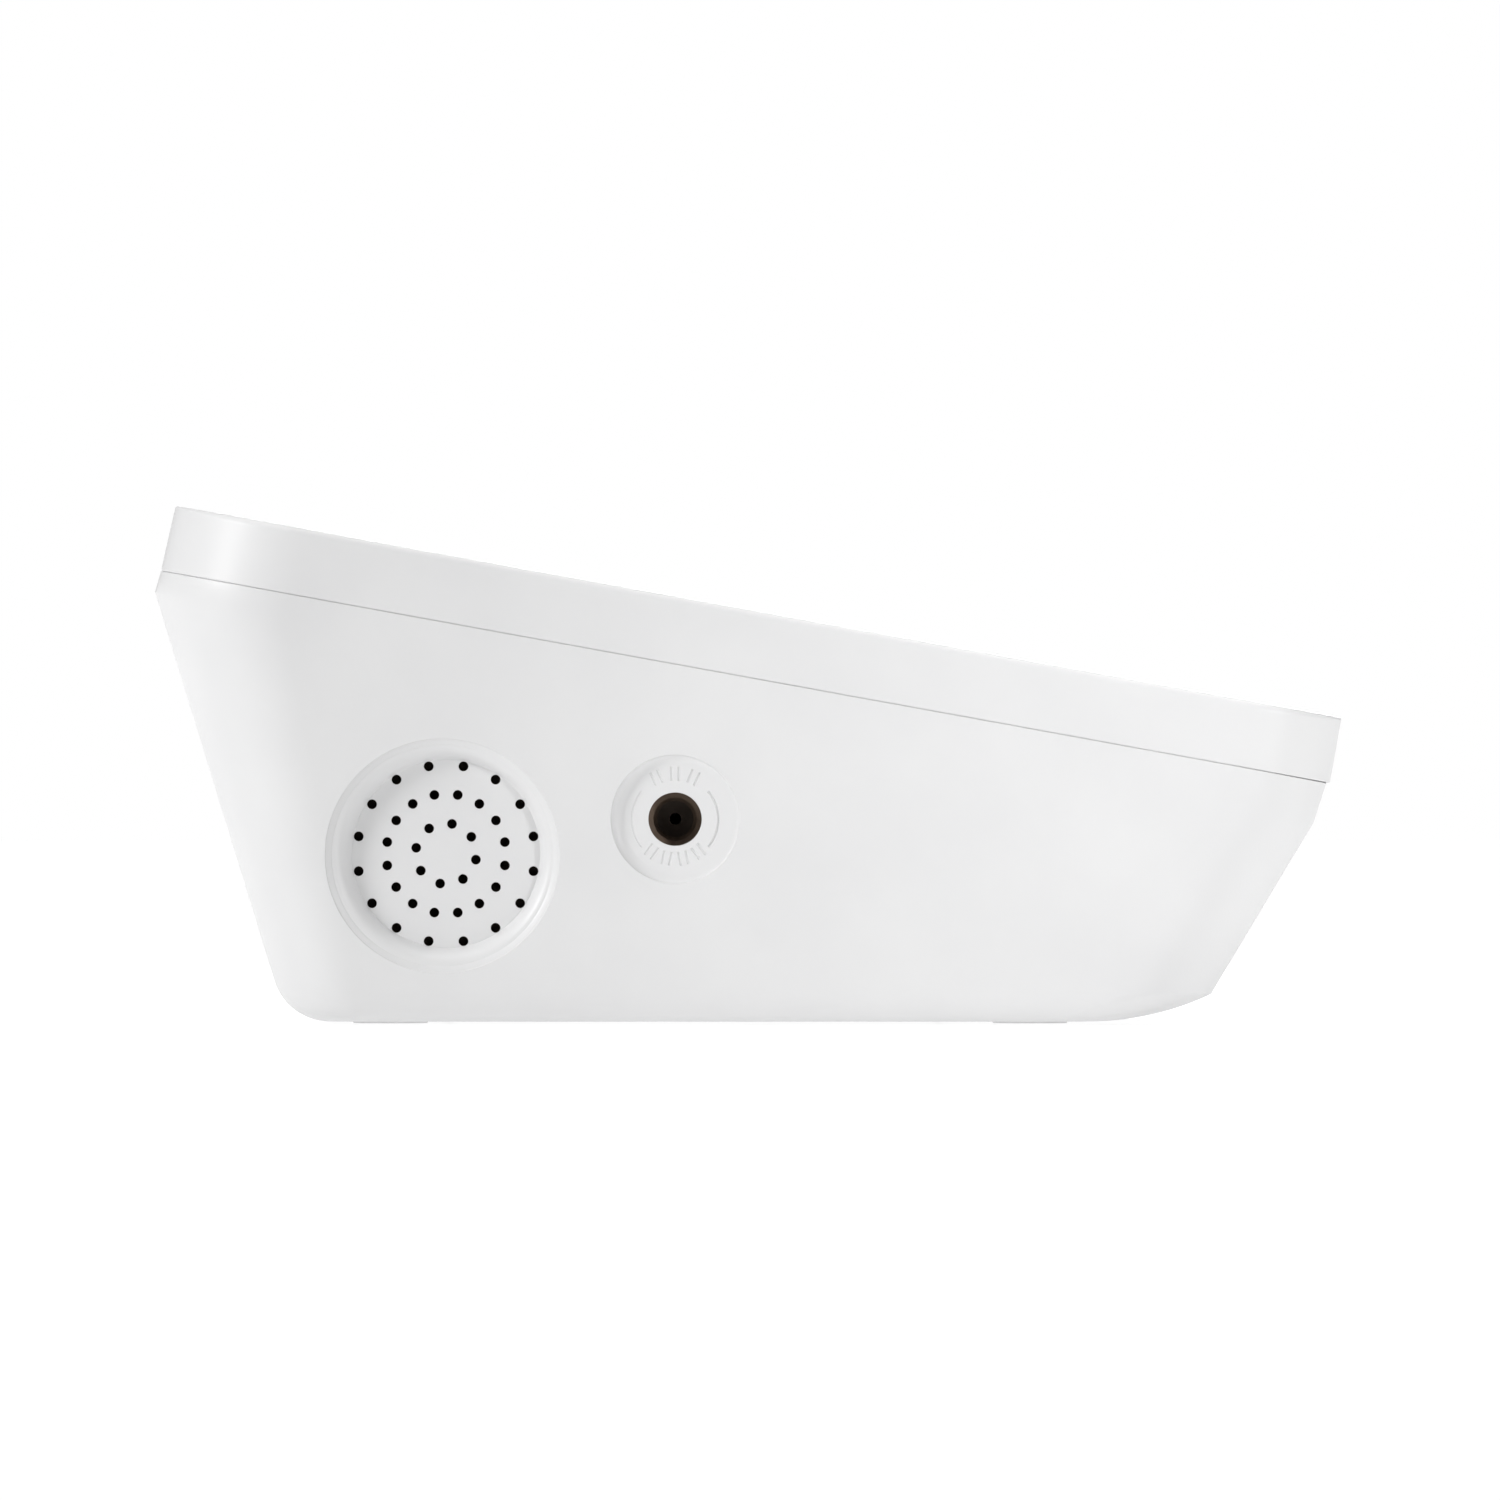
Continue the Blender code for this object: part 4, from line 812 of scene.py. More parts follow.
def upper_cover(white, deck):
    """The top cover: a shallow tray upside down, with a rabbet over the shell's tongue."""
    seam = -COVER_DEPTH + SEAM_GAP / 2
    rabbet = TONGUE_INSET - GAP / 2
    rabbet_top = seam + TONGUE_HEIGHT + 2 * GAP
    rings = [cover_ring(*level) for level in ((WALL, -WALL), (WALL, rabbet_top), (rabbet, rabbet_top))]
    rings.append(cover_ring(rabbet, seam))
    rings += [cover_ring(EDGE - side, seam + EDGE - up) for side, up in rounding(EDGE, 4, 90, 0)]
    steps = 8
    rings += [top_edge_ring(math.pi / 2 * i / steps) for i in range(steps + 1)]
    cover = lofted("cover", rings, deck)

    case_post = ((POST_RADIUS, -1.0), (POST_RADIUS, POST_END))
    board_post = ((BOARD_POST_RADIUS, -1.0), (BOARD_POST_RADIUS, BOARD_TOP + GAP))
    posts = at_each(CASE_POSTS, case_post, 32) + at_each(BOARD_POSTS, board_post, 24)
    join(cover, merged("cover_posts", posts, deck))
    pilot = ((CASE_PILOT, POST_END + 9.0), (CASE_PILOT, POST_END - 1.0))
    cut(cover, merged("pilot_cutter", at_each(CASE_POSTS, pilot, 24), deck))
    cut_window_and_keys(cover, deck)
    finished(cover, "cover_moulding", white, "case", ["upper_cover"])


def cut_window_and_keys(cover, deck):
    """The window's recess and opening and the three key openings, all with eased edges."""
    eased = [(EDGE, 1.0)]
    eased += [(EDGE + side, down - EDGE) for side, down in rounding(EDGE, 4, 90, 180)]
    window = (WINDOW_X, WINDOW_FROM, WINDOW_TO, WINDOW_CORNER)
    near = WINDOW_FROM + WINDOW_LEDGE
    far = WINDOW_TO - WINDOW_LEDGE
    opening = (WINDOW_X - WINDOW_LEDGE, near, far, WINDOW_CORNER - WINDOW_LEDGE)
    cut(cover, pillar("window_recess_cutter", *window, eased + [(0.0, -WINDOW_THICKNESS - 0.1)], deck))
    cut(cover, pillar("window_cutter", *opening, ((0.0, 1.0), (0.0, -5.0)), deck))
    openings = []
    for name, x, half_x, half_y in KEYS:
        size = (half_x + GAP, -half_y - GAP, half_y + GAP, half_y + GAP - 0.01)
        hole = pillar(f"{name}_opening", *size, eased + [(0.0, -5.0)])
        openings.append(placed(hole, (x, KEY_LINE, 0.0)))
    cut(cover, merged("key_cutter", openings, deck))


# ---------------------------------------------------------------- pieces on the deck

def display_window(lens, print_black, deck):
    """A clear lens with eased edges, and the black border printed on its underside."""
    def size(margin):
        return WINDOW_X - margin, WINDOW_FROM + margin, WINDOW_TO - margin, WINDOW_CORNER - margin

    ease = 0.25
    levels = [(0.0, -WINDOW_THICKNESS)]
    levels += [(side - ease, -0.05 - ease + up) for side, up in rounding(ease, 5, 0, 90)]
    pane = pillar("pane", *size(WINDOW_GAP), levels, deck)
    finished(pane, "window_lens", lens, "case", ["display_window"])

    print_levels = ((0.0, -WINDOW_THICKNESS - 0.08), (0.0, -WINDOW_THICKNESS - 0.02))
    border = pillar("border", *size(4 * WINDOW_GAP), print_levels, deck)
    cut(border, pillar("sight_cutter", *SIGHT, ((0.0, -3.0), (0.0, 0.0)), deck))
    finished(border, "window_border", print_black, "case")


def bar(name, start, end, width, low, high):
    """A flat bar with pointed ends between two (x, y) points."""
    start, end = Vector(start), Vector(end)
    along = (end - start).normalized() * width / 2
    side = Vector((-along.y, along.x))
    near, far = start + along, end - along
    outline = [start, near - side, far - side, end, far + side, near + side]
    return lofted(name, [[(*point, height) for point in outline] for height in (low, high)])


def digit_bars(number, corner, height, low, high):
    """The lit bars of one seven-segment digit, leaning a little to the right."""
    width = height * 0.52
    lean = 0.09
    gap = height * 0.025

    def at(across, up):
        return corner[0] + across * width + lean * up * height, corner[1] + up * height

    ends = {
        "a": (at(0, 1), at(1, 1)), "b": (at(1, 1), at(1, 0.5)), "c": (at(1, 0.5), at(1, 0)),
        "d": (at(0, 0), at(1, 0)), "e": (at(0, 0.5), at(0, 0)), "f": (at(0, 1), at(0, 0.5)),
        "g": (at(0, 0.5), at(1, 0.5)),
    }
    bars = []
    for segment in SEGMENTS[number]:
        start, end = (Vector(point) for point in ends[segment])
        inward = (end - start).normalized() * gap
        bars.append(bar("segment", start + inward, end - inward, height * 0.13, low, high))
    return bars


def readings(ink, deck):
    """Three plain numbers, a level bar and rules between the rows, as thin shapes on the glass."""
    low, high = LCD_TOP - 0.05, LCD_TOP + 0.03
    shapes = []
    for text, right, bottom, height in READINGS:
        pitch = height * 0.78
        for place, character in enumerate(reversed(text)):
            corner = (right - height * 0.6 - place * pitch, bottom)
            shapes += digit_bars(character, corner, height, low, high)
    for along in RULES:
        shapes.append(bar("rule", (-26.0, along), (27.0, along), 0.35, low, high))
    for i in range(9):
        along = 74.0 + i * 4.6
        shapes.append(bar("level", (-28.5, along), (-24.5, along), 2.6, low, high))
    finished(merged("readings", shapes, deck), "lcd_readings", ink, "case")


def lcd_panel(glass, deck):
    ease = 0.25
    levels = ((-ease, LCD_BOTTOM), (0.0, LCD_BOTTOM + ease), (0.0, LCD_TOP - ease), (-ease, LCD_TOP))
    panel = pillar("panel", LCD_X, LCD_FROM, LCD_TO, 0.6, levels, deck, steps=3)
    finished(panel, "lcd_glass_plate", glass, "case", ["lcd_panel"])


def key_cap(name, x, half_x, half_y, finish, deck):
    """A key cap with a rounded rim round a flat top, and its stem."""
    rim, inward, down = 0.9, 0.9, 0.45
    levels = [(0.0, -KEY_HEIGHT)]
    levels += [((side - rim) * inward, (up - rim) * down) for side, up in rounding(rim, 8, 0, 90)]
    cap = pillar("cap", half_x, -half_y, half_y, half_y - 0.01, levels, deck)
    placed(cap, (x, KEY_LINE, 0.0))
    stem_profile = ((STEM_RADIUS, 0.7 - KEY_HEIGHT), (STEM_RADIUS, STEM_END))
    join(cap, placed(turned("stem", stem_profile, deck, 24), (x, KEY_LINE, 0.0)))
    finished(cap, f"{name}_key_cap", finish, f"{name}_key", [f"{name}_key"])


def ring_mark(radius, width, low, high, start, sweep):
    """Part of a flat ring, from a start angle through a sweep in degrees."""
    steps = 40
    inner, outer = radius - width / 2, radius + width / 2
    rings = []
    for i in range(steps + 1):
        angle = math.radians(start + sweep * i / steps)
        across, up = math.cos(angle), math.sin(angle)
        rings.append([
            (spot * across, spot * up, height)
            for spot, height in ((inner, low), (outer, low), (outer, high), (inner, high))
        ])
    return lofted("ring_mark", rings)


def key_marks(ink, deck):
    """Plain signs: a ring and a bar on the start key, three bars on the memory key, dots on the set key."""
    low, high = -0.05, 0.0
    start = [ring_mark(2.6, 0.5, low, high, 120.0, 300.0)]
    start.append(bar("bar", (0.0, 0.9), (0.0, 3.6), 0.5, low, high))
    memory = [bar("bar", (-2.2, up), (2.2, up), 0.55, low, high) for up in (-1.5, 0.0, 1.5)]
    dot = ((0.45, low), (0.45, high))
    dots = at_each([point[:2] for point in circle(2.2, low, 8)], dot, 20)
    for key, shapes in zip(KEYS, (start, memory, dots)):
        name, x = key[:2]
        seat = empty(f"{name}_mark_seat", (x, KEY_LINE, 0.0), parent=deck)
        mark = merged(f"{name}_mark", shapes, seat)
        finished(mark, f"{name}_key_mark", ink, f"{name}_key")


# ---------------------------------------------------------------- underside, socket and inlet

def battery_door(white):
    """The door panel with eased edges, its tabs, its latch and inner ribs, and grip grooves outside."""
    inner_x = BAY_X + DOOR_MARGIN - GAP
    front = BAY_FRONT - DOOR_MARGIN + GAP
    back = BAY_BACK + DOOR_MARGIN - GAP
    top = FOOT_PROUD + DOOR_THICKNESS
    levels = (
        (-DOOR_EASE, FOOT_PROUD), (-DOOR_EASE * 0.3, FOOT_PROUD + DOOR_EASE * 0.3),
        (0.0, FOOT_PROUD + DOOR_EASE), (0.0, top),
    )
    door = pillar("door", inner_x, front, back, 0.8, levels)
    for x in (-DOOR_TAB_X, DOOR_TAB_X):
        near, far = x - DOOR_TAB_HALF, x + DOOR_TAB_HALF
        riser = box("riser", (near, BAY_FRONT + 0.4, top - 0.6), (far, BAY_FRONT + 1.8, FLOOR_Z + 1.8))
        tab = box("tab", (near, BAY_FRONT - 2.9, FLOOR_Z + 0.5), (far, BAY_FRONT + 1.0, FLOOR_Z + 1.6))
        join(door, riser, tab)
    join(door, box("latch", (-5.5, BAY_BACK - 1.7, top - 0.6), (5.5, BAY_BACK - 0.6, 5.4)))
    ribs = [
        box("rib", (-9.0, along - 0.35, top - 0.5), (9.0, along + 0.35, top + 0.6))
        for along in (BAY_FRONT + 14.0, BAY_FRONT + 28.0, BAY_FRONT + 42.0)
    ]
    join(door, merged("door_ribs", ribs))
    cut(door, grip_cutter())
    finished(door, "door_panel", white, "battery_door", ["battery_door"])


def grip_cutter():
    """Five grooves and a plain pointer, turned over to cut the door's outer face from below."""
    grips = []
    for i in range(5):
        along = BAY_BACK - 6.0 - i * 1.6
        half = 8.0 - i * 0.8
        grips.append(groove([(-half, along), (0.0, along), (half, along)], 0.8, 0.35))
    pointer = [(-3.0, BAY_BACK - 15.6), (0.0, BAY_BACK - 18.6), (3.0, BAY_BACK - 15.6)]
    grips.append(groove(pointer, 0.8, 0.35))
    cutter = placed(merged("grip_cutter", grips), (0.0, 0.0, FOOT_PROUD), (math.pi, 0.0, 0.0))
    for vertex in cutter.data.vertices:
        vertex.co.y = -vertex.co.y
    cutter.data.flip_normals()
    return cutter


def rubber_feet(rubber):
    """Round pads with a softened edge and one turned ring groove."""
    ease = 0.15
    profile = [(FOOT_RADIUS, FOOT_TOP)]
    profile += [(FOOT_RADIUS - ease + side, ease - up) for side, up in rounding(ease, 5, 0, 90)]
    profile += [(3.3, 0.0), (3.2, 0.12), (2.9, 0.12), (2.8, 0.0)]
    for number, (x, y) in enumerate(FOOT_PLACES, 1):
        foot = placed(turned("foot", profile), (x, y, 0.0))
        finished(foot, f"foot_pad_{number}", rubber, "case", [f"rubber_foot_{number}"])


def cuff_socket(moulded):
    """The air socket behind the wall: a flange, a barrel with a stepped bore, and a barb for the hose."""
    seat = seat_on_left_wall("socket_piece_seat", SOCKET_AT)
    face = -WALL - GAP
    barb = BARB_RADIUS
    ridge = BARB_RADIUS + 0.35
    step, throat = 2.6, 2.2
    profile = (
        (SOCKET_BORE_RADIUS + 0.3, face), (FLANGE_RADIUS, face), (FLANGE_RADIUS, face - 1.8),
        (BARREL_RADIUS, face - 1.8), (BARREL_RADIUS, BARREL_END), (barb + 0.4, BARREL_END - 0.4),
        (barb, -17.9), (barb, -19.4), (ridge, -19.5), (barb, -20.6), (ridge, -20.7), (barb, BARB_END),
        (BARB_BORE, BARB_END), (BARB_BORE, -SOCKET_BORE_DEPTH - 0.4), (throat, -SOCKET_BORE_DEPTH),
        (throat, -9.0), (step, -8.6), (step, -5.4),
        (SOCKET_BORE_RADIUS, -4.9), (SOCKET_BORE_RADIUS, face - 0.3),
    )
    socket = turned("socket", profile, seat, 72, capped=False)
    finished(socket, "socket_barrel", moulded, "case", ["cuff_socket"])


def power_inlet(moulded, steel):
    """The direct-current jack in the back wall, and its centre pin."""
    seat = inlet_seat()
    behind_wall = -WALL - GAP
    bore_end = INLET_BACK + 2.0
    profile = (
        (INLET_BORE, -0.65), (INLET_BORE + 0.2, -0.4), (INLET_RADIUS - 0.2, -0.4), (INLET_RADIUS, -0.6),
        (INLET_RADIUS, behind_wall), (INLET_BODY_RADIUS, behind_wall), (INLET_BODY_RADIUS, INLET_BACK),
        (0.3, INLET_BACK), (0.3, bore_end), (INLET_BORE, bore_end),
    )
    jack = turned("jack", profile, seat, 48, capped=False)
    finished(jack, "inlet_jack", moulded, "case", ["power_inlet"])
    pin = turned("pin", ((0.35, -1.6), (0.8, -1.9), (0.95, -2.3), (0.95, -10.6)), seat, 32)
    finished(pin, "inlet_pin", steel, "case")


# ---------------------------------------------------------------- battery bay

def cells(jacket, steel):
    """Four cells with a rolled-in jacket, a flat negative cap and a raised positive one."""
    plate_front = BAY_FRONT + BAY_CLEARANCE + CONTACT_THICKNESS
    plate_back = BAY_BACK - BAY_CLEARANCE - CONTACT_THICKNESS
    end = -CELL_LENGTH
    body = (
        (0.1, -1.6), (CELL_RADIUS - 1.2, -1.5), (CELL_RADIUS - 0.35, -1.62), (CELL_RADIUS, -2.1),
        (CELL_RADIUS, end + 0.6), (CELL_RADIUS - 0.35, end + 0.15), (CELL_RADIUS - 1.2, end + 0.1),
        (0.1, end + 0.1),
    )
    cap = ((0.1, 0.0), (2.3, 0.0), (2.6, -0.3), (2.6, -1.3), (4.4, -1.35), (4.4, -1.7), (0.1, -1.7))
    bottom = ((0.1, end + 0.3), (4.6, end + 0.3), (4.6, end), (0.1, end))
    for number, (x, way) in enumerate(cell_rows(), 1):
        tip = plate_back - GAP if way > 0 else plate_front + GAP
        seat = empty(f"cell_seat_{number}", (x, tip, CELL_Z), (-way * math.pi / 2, 0.0, 0.0))
        film = turned("film", body, seat, 48)
        finished(film, f"cell_jacket_{number}", jacket, "case", [f"cell_{number}"])
        caps = [turned("cap", cap, sides=40), turned("bottom", bottom, sides=40)]
        ends = merged(f"terminals_{number}", caps, seat)
        finished(ends, f"cell_ends_{number}", steel, "case")


def cell_rows():
    """Each cell's x and the way its positive end points: 1 to the back, -1 to the front."""
    return [((i - 1.5) * CELL_PITCH, 1 if i % 2 == 0 else -1) for i in range(4)]


def coil(length):
    """A conical coil on local Z, wide at the plate."""
    turns, steps, sides, wire = 3.0, 96, 10, 0.35
    rings = []
    for i in range(steps + 1):
        share = i / steps
        angle = math.tau * turns * share
        radius = 4.6 - 2.0 * share
        centre = Vector((radius * math.cos(angle), radius * math.sin(angle), share * length))
        outward = Vector((math.cos(angle), math.sin(angle), 0.0))
        rings.append([
            tuple(centre + wire * (math.cos(a) * outward + math.sin(a) * Vector((0.0, 0.0, 1.0))))
            for a in (math.tau * j / sides for j in range(sides))
        ])
    return lofted("coil", rings)


def contacts(steel):
    """Plated strips at the bay's ends, with a conical spring at each cell's negative end."""
    rows = cell_rows()
    groups = (
        ("front_left", -1, (0,)), ("front_middle", -1, (1, 2)), ("front_right", -1, (3,)),
        ("back_left", 1, (0, 1)), ("back_right", 1, (2, 3)),
    )
    used = 2 * BAY_CLEARANCE + 2 * CONTACT_THICKNESS + CELL_LENGTH + 2 * GAP
    spring_length = BAY_BACK - BAY_FRONT - used - 0.4
    thin = CONTACT_THICKNESS / 2
    ease = 0.08
    levels = ((-ease, -thin), (0.0, ease - thin), (0.0, thin - ease), (-ease, thin))
    for name, end, members in groups:
        outer = BAY_BACK - BAY_CLEARANCE if end > 0 else BAY_FRONT + BAY_CLEARANCE
        inner = outer - end * CONTACT_THICKNESS
        xs = [rows[i][0] for i in members]
        half = (max(xs) - min(xs)) / 2 + 5.6
        centre = ((max(xs) + min(xs)) / 2, (outer + inner) / 2, CELL_Z + 0.6)
        seat = empty(f"{name}_seat", centre, (math.pi / 2, 0.0, 0.0))
        plate = pillar("plate", half, -5.0, 5.0, 1.2, levels, seat, steps=6)
        for x, way in (rows[i] for i in members):
            if way != end:
                foot = (x, inner + end * 0.15, CELL_Z)
                join(plate, placed(coil(spring_length), foot, (end * math.pi / 2, 0.0, 0.0)))
        finished(plate, f"{name}_contact_strip", steel, "case", [f"contact_{name}"])


# ---------------------------------------------------------------- materials

def noise(tree, size, detail=3.0, stretch=(1.0, 1.0, 1.0)):
    """Noise over the object with features of about that size in millimetres, stretched along some axes."""
    coordinates = tree.nodes.new("ShaderNodeTexCoord")
    mapping = tree.nodes.new("ShaderNodeMapping")
    mapping.inputs["Scale"].default_value = stretch
    texture = tree.nodes.new("ShaderNodeTexNoise")
    texture.inputs["Scale"].default_value = 1.0 / (size * MM)
    texture.inputs["Detail"].default_value = detail
    tree.links.new(coordinates.outputs["Object"], mapping.inputs["Vector"])
    tree.links.new(mapping.outputs["Vector"], texture.inputs["Vector"])
    return texture.outputs["Fac"]


def ramp(tree, source, stops):
    """A colour or grey ramp: stops are (place, value), where a value is a grey or an RGB colour."""
    node = tree.nodes.new("ShaderNodeValToRGB")
    elements = node.color_ramp.elements
    while len(elements) < len(stops):
        elements.new(0.5)
    for element, (place, value) in zip(elements, stops):
        element.position = place
        colour = value if isinstance(value, tuple) else (value, value, value)
        element.color = (*colour, 1.0)
    tree.links.new(source, node.inputs["Fac"])
    return node.outputs["Color"]


def bump(tree, shader, source, depth, strength=1.0):
    """Bump of that depth in millimetres. A second call adds its bump to the first."""
    node = tree.nodes.new("ShaderNodeBump")
    node.inputs["Distance"].default_value = depth * MM
    node.inputs["Strength"].default_value = strength
    tree.links.new(source, node.inputs["Height"])
    normal = shader.inputs["Normal"]
    if normal.is_linked:
        tree.links.new(normal.links[0].from_socket, node.inputs["Normal"])
    tree.links.new(node.outputs["Normal"], normal)


def surface(name, colours, cloud, rough, grain, depth, metallic=0.0, stretch=(1.0, 1.0, 1.0)):
    """A material whose colour drifts over cloud millimetres, with a fine grain in its gloss and its bump."""
    made = bpy.data.materials.new(name)
    made.use_nodes = True
    tree = made.node_tree
    shader = tree.nodes["Principled BSDF"]
    shader.inputs["Metallic"].default_value = metallic
    dark, light = colours
    drift = ramp(tree, noise(tree, cloud), ((0.3, dark), (0.7, light)))
    tree.links.new(drift, shader.inputs["Base Color"])
    fine = noise(tree, grain, 4.0, stretch)
    tree.links.new(ramp(tree, fine, ((0.25, rough[0]), (0.75, rough[1]))), shader.inputs["Roughness"])
    bump(tree, shader, fine, depth)
    return made


def parts_of(material):
    """A material's node tree and its shader."""
    tree = material.node_tree
    return tree, tree.nodes["Principled BSDF"]


def pattern(tree, kind, scale):
    """A wave or brick pattern over the object, scale repeats to about a metre."""
    texture = tree.nodes.new(kind)
    texture.inputs["Scale"].default_value = scale
    coordinates = tree.nodes.new("ShaderNodeTexCoord")
    tree.links.new(coordinates.outputs["Object"], texture.inputs["Vector"])
    return texture.outputs["Fac"]


def white_abs():
    """Satin white ABS: nearly even in colour, with a mould's fine spark-eroded skin and a faint waviness."""
    colours = ((0.66, 0.66, 0.664), (0.685, 0.685, 0.687))
    made = surface("white_abs", colours, 14.0, (0.34, 0.46), 0.25, 0.006)
    tree, shader = parts_of(made)
    bump(tree, shader, noise(tree, 6.0, 2.0), 0.006, 0.35)
    return made


def start_blue():
    colours = ((0.022, 0.11, 0.29), (0.03, 0.13, 0.33))
    made = surface("start_blue", colours, 5.0, (0.28, 0.38), 0.2, 0.004)
    parts_of(made)[1].inputs["Coat Weight"].default_value = 0.25
    return made


def key_grey():
    colours = ((0.4, 0.42, 0.44), (0.44, 0.46, 0.48))
    return surface("key_grey", colours, 4.0, (0.36, 0.5), 0.2, 0.005)


def mark_white():
    colours = ((0.8, 0.8, 0.8), (0.86, 0.86, 0.86))
    return surface("mark_white", colours, 1.0, (0.45, 0.6), 0.1, 0.002)


def window_lens_material():
    """Clear acrylic, very slightly smoked, with hairline scratches in its gloss."""
    colours = ((0.9, 0.91, 0.92), (0.94, 0.95, 0.96))
    made = surface("window_lens", colours, 20.0, (0.02, 0.06), 0.8, 0.001, stretch=(1.0, 0.05, 1.0))
    shader = parts_of(made)[1]
    shader.inputs["Transmission Weight"].default_value = 1.0
    shader.inputs["IOR"].default_value = 1.49
    shader.inputs["Specular IOR Level"].default_value = 0.5
    return made


def print_black():
    colours = ((0.012, 0.013, 0.015), (0.02, 0.021, 0.024))
    return surface("print_black", colours, 3.0, (0.3, 0.42), 0.08, 0.002)


def lcd_grey():
    """The display's reflective ground, with the faint lines of its electrodes."""
    colours = ((0.36, 0.41, 0.36), (0.41, 0.46, 0.4))
    made = surface("lcd_grey", colours, 18.0, (0.18, 0.28), 0.3, 0.002)
    tree, shader = parts_of(made)
    bump(tree, shader, pattern(tree, "ShaderNodeTexWave", 400.0), 0.002, 0.3)
    return made


def lcd_ink():
    colours = ((0.02, 0.024, 0.022), (0.035, 0.04, 0.036))
    return surface("lcd_ink", colours, 1.5, (0.3, 0.4), 0.1, 0.001)


def grey_rubber():
    colours = ((0.72, 0.72, 0.72), (0.78, 0.78, 0.78))
    return surface("grey_rubber", colours, 2.0, (0.65, 0.85), 0.15, 0.02)


def sleeve_rubber():
    colours = ((0.02, 0.02, 0.02), (0.035, 0.035, 0.035))
    return surface("sleeve_rubber", colours, 3.0, (0.6, 0.8), 0.2, 0.02)


def socket_brown():
    """Dark brown glass-filled plastic, as seen down the cuff bore."""
    colours = ((0.14, 0.098, 0.07), (0.19, 0.14, 0.105))
    return surface("socket_brown", colours, 1.5, (0.35, 0.5), 0.12, 0.008)


def black_plastic():
    colours = ((0.012, 0.012, 0.013), (0.02, 0.02, 0.021))
    return surface("black_plastic", colours, 3.0, (0.35, 0.5), 0.15, 0.008)


def natural_plastic():
    colours = ((0.56, 0.57, 0.56), (0.64, 0.65, 0.63))
    made = surface("natural_plastic", colours, 5.0, (0.35, 0.5), 0.2, 0.008)
    shader = parts_of(made)[1]
    shader.inputs["Subsurface Weight"].default_value = 0.1
    shader.inputs["Subsurface Radius"].default_value = (0.001, 0.001, 0.001)
    return made


def plated_steel():
    """Bright zinc plate with short rolling streaks."""
    colours = ((0.5, 0.5, 0.51), (0.62, 0.62, 0.63))
    return surface("plated_steel", colours, 2.0, (0.22, 0.4), 0.3, 0.004, 1.0, (1.0, 6.0, 6.0))


def motor_steel():
    colours = ((0.38, 0.39, 0.41), (0.5, 0.51, 0.53))
    return surface("motor_steel", colours, 5.0, (0.28, 0.45), 0.4, 0.006, 1.0, (8.0, 1.0, 1.0))


def turned_brass():
    colours = ((0.52, 0.36, 0.13), (0.62, 0.45, 0.18))
    return surface("turned_brass", colours, 2.0, (0.2, 0.36), 0.2, 0.004, 1.0, (8.0, 1.0, 1.0))


def magnet_ferrite():
    colours = ((0.035, 0.035, 0.04), (0.06, 0.06, 0.065))
    return surface("magnet_ferrite", colours, 1.0, (0.55, 0.75), 0.15, 0.02, 0.3)


def cone_paper():
    """Brown-black pressed paper with short fibres."""
    colours = ((0.03, 0.02, 0.015), (0.07, 0.05, 0.038))
    made = surface("cone_paper", colours, 0.6, (0.75, 0.95), 0.1, 0.03)
    tree, shader = parts_of(made)
    bump(tree, shader, noise(tree, 0.5, 5.0, (1.0, 0.2, 1.0)), 0.04, 0.6)
    return made


def green_laminate():
    """Solder mask over woven glass, with the weave showing faintly."""
    colours = ((0.012, 0.1, 0.035), (0.02, 0.14, 0.05))
    made = surface("green_laminate", colours, 6.0, (0.25, 0.4), 0.2, 0.004)
    tree, shader = parts_of(made)
    bump(tree, shader, pattern(tree, "ShaderNodeTexBrick", 900.0), 0.01, 0.4)
    return made


def backlight_white():
    colours = ((0.72, 0.74, 0.78), (0.8, 0.82, 0.85))
    return surface("backlight_white", colours, 8.0, (0.3, 0.45), 0.3, 0.003)


def pink_elastomer():
    """A zebra strip: dark conducting layers between pink ones, in place of the drifting colour."""
    clear, conducting = (0.5, 0.28, 0.3), (0.06, 0.05, 0.05)
    made = surface("pink_elastomer", ((0.42, 0.22, 0.24), clear), 2.0, (0.5, 0.7), 0.1, 0.004)
    tree, shader = parts_of(made)
    layers = pattern(tree, "ShaderNodeTexWave", 1500.0)
    tree.links.new(ramp(tree, layers, ((0.4, clear), (0.6, conducting))), shader.inputs["Base Color"])
    return made


def silicone_hose():
    colours = ((0.62, 0.63, 0.6), (0.7, 0.71, 0.68))
    made = surface("silicone_hose", colours, 4.0, (0.3, 0.45), 0.3, 0.006)
    parts_of(made)[1].inputs["Transmission Weight"].default_value = 0.3
    return made


def cell_jacket():
    """The cells' plain dark film jacket."""
    colours = ((0.016, 0.017, 0.02), (0.024, 0.025, 0.03))
    return surface("cell_jacket", colours, 6.0, (0.2, 0.32), 0.4, 0.003, 0.2)


def lead_cover(name, dark, light):
    return surface(name, (dark, light), 2.0, (0.4, 0.55), 0.2, 0.005)


def paint(material, *names):
    for name in names:
        mesh = NODES[name].data
        mesh.materials.clear()
        mesh.materials.append(material)


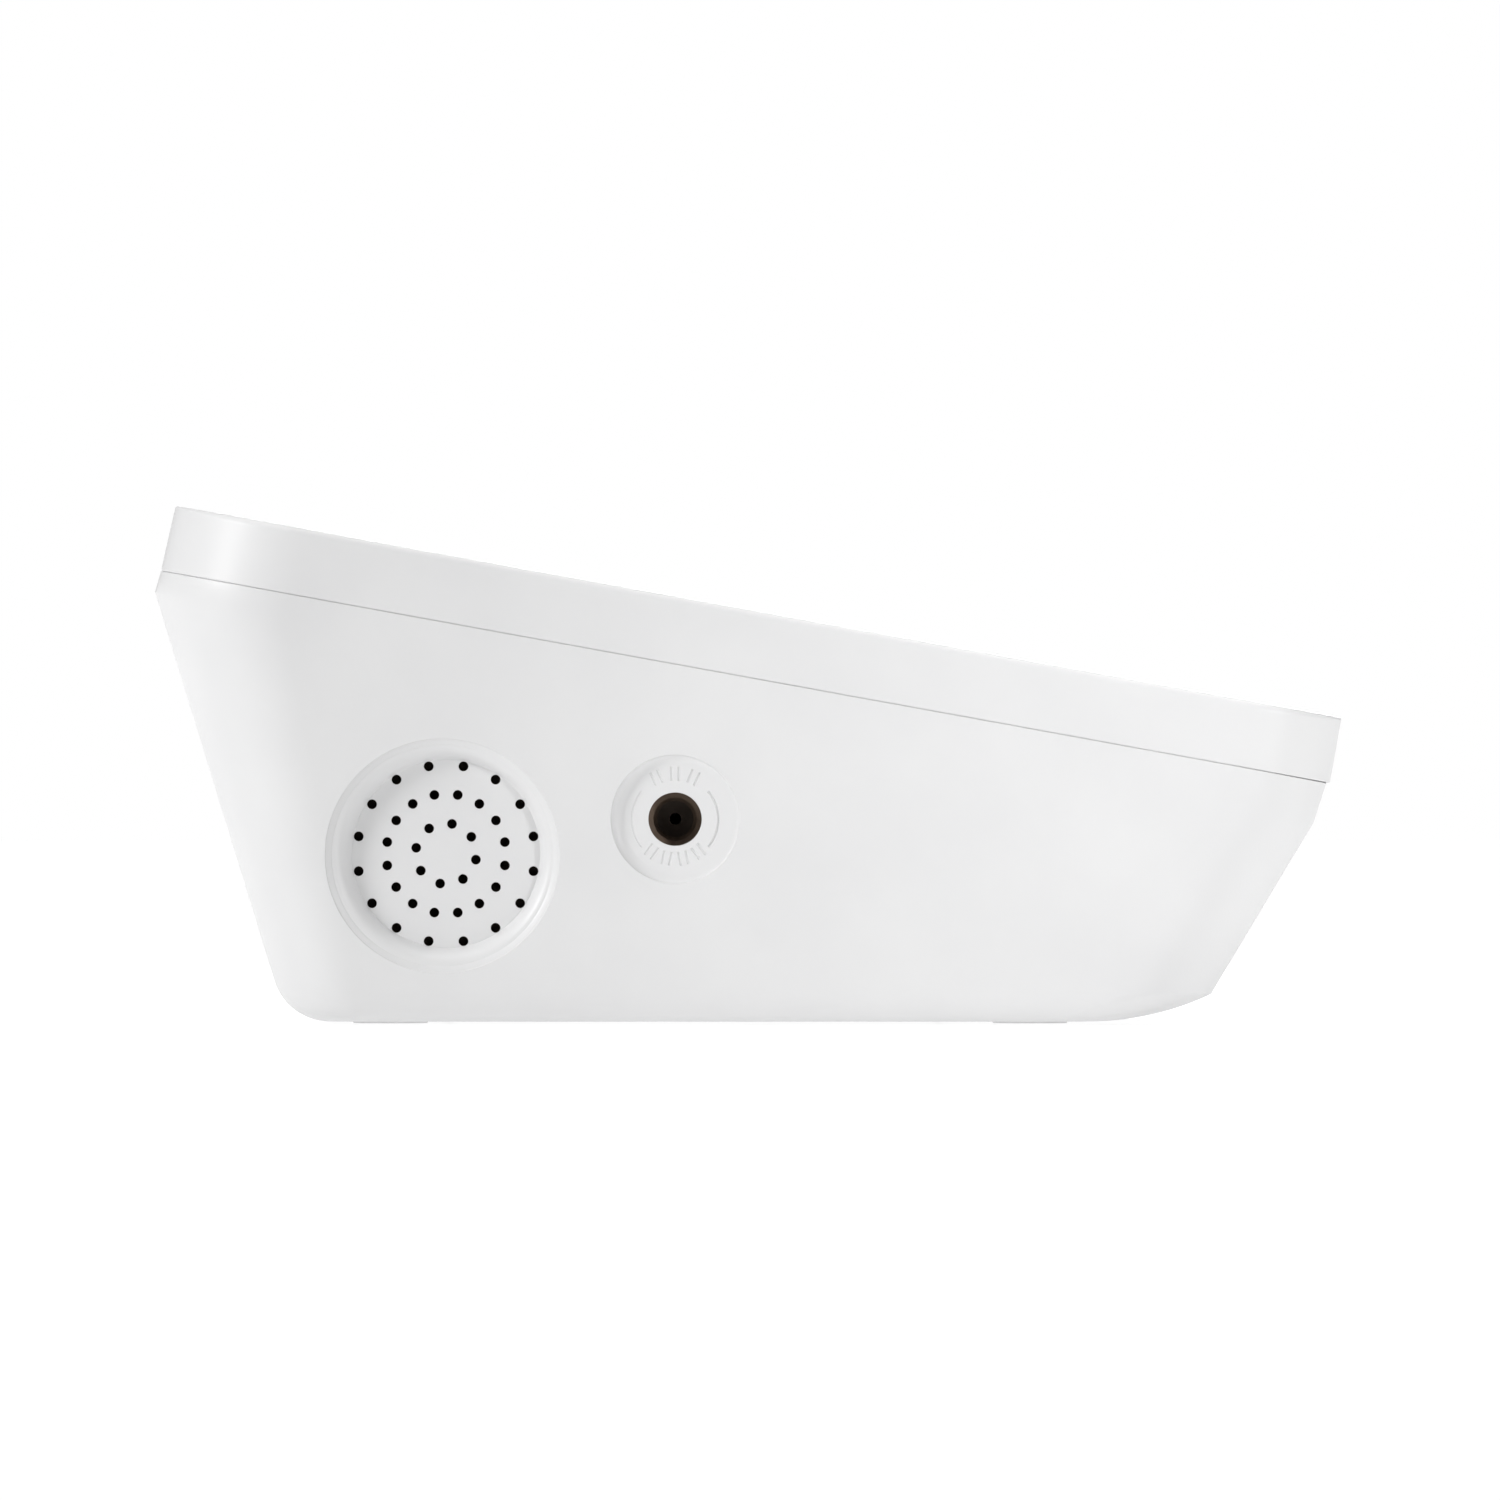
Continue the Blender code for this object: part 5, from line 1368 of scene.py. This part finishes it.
def paint_cad_nodes(steel):
    """New finishes for the nodes that keep their CAD shape."""
    black = black_plastic()
    screws = [f"case_screw_{i}" for i in range(1, 5)] + ["board_screw_1", "board_screw_2"]
    paint(steel, *screws, "valve_plunger", "filter_capacitor")
    for name, *_ in KEYS:
        paint(steel, f"{name}_plunger")
        paint(black, f"{name}_switch")
    paint(black, "controller_chip", "pressure_sensor", "pump_head")
    paint(motor_steel(), "pump_motor", "valve_body", "speaker_frame")
    paint(natural_plastic(), "lcd_frame", "air_manifold")
    paint(backlight_white(), "lcd_backlight")
    paint(pink_elastomer(), "zebra_strip")
    paint(green_laminate(), "main_board")
    paint(sleeve_rubber(), "pump_sleeve", "pump_diaphragm", "speaker_gasket")
    paint(turned_brass(), "pump_crank")
    paint(magnet_ferrite(), "speaker_magnet")
    paint(cone_paper(), "speaker_cone")
    paint(silicone_hose(), "socket_hose", "pump_hose", "sensor_hose", "valve_hose")
    paint(lead_cover("lead_grey", (0.05, 0.05, 0.055), (0.07, 0.07, 0.075)), "speaker_lead")
    paint(lead_cover("lead_red", (0.3, 0.012, 0.012), (0.4, 0.02, 0.02)), "pump_lead")


# ---------------------------------------------------------------- the whole monitor

def main():
    studio()
    white = white_abs()
    grey = key_grey()
    steel = plated_steel()
    deck = empty("deck", (0.0, DECK_FRONT_Y, DECK_FRONT_Z), (DECK_SLOPE, 0.0, 0.0))
    lower_shell(white, deck)
    upper_cover(white, deck)
    display_window(window_lens_material(), print_black(), deck)
    lcd_panel(lcd_grey(), deck)
    readings(lcd_ink(), deck)
    for name, x, half_x, half_y in KEYS:
        finish, slot = (start_blue(), "key_blue") if name == "start" else (grey, "key_grey")
        key_cap(name, x, half_x, half_y, finish, deck)
    key_marks(mark_white(), deck)
    battery_door(white)
    rubber_feet(grey_rubber())
    cuff_socket(socket_brown())
    power_inlet(black_plastic(), steel)
    cells(cell_jacket(), steel)
    contacts(steel)
    paint_cad_nodes(steel)
    clear_helpers()


main()
bpy.context.view_layer.update()
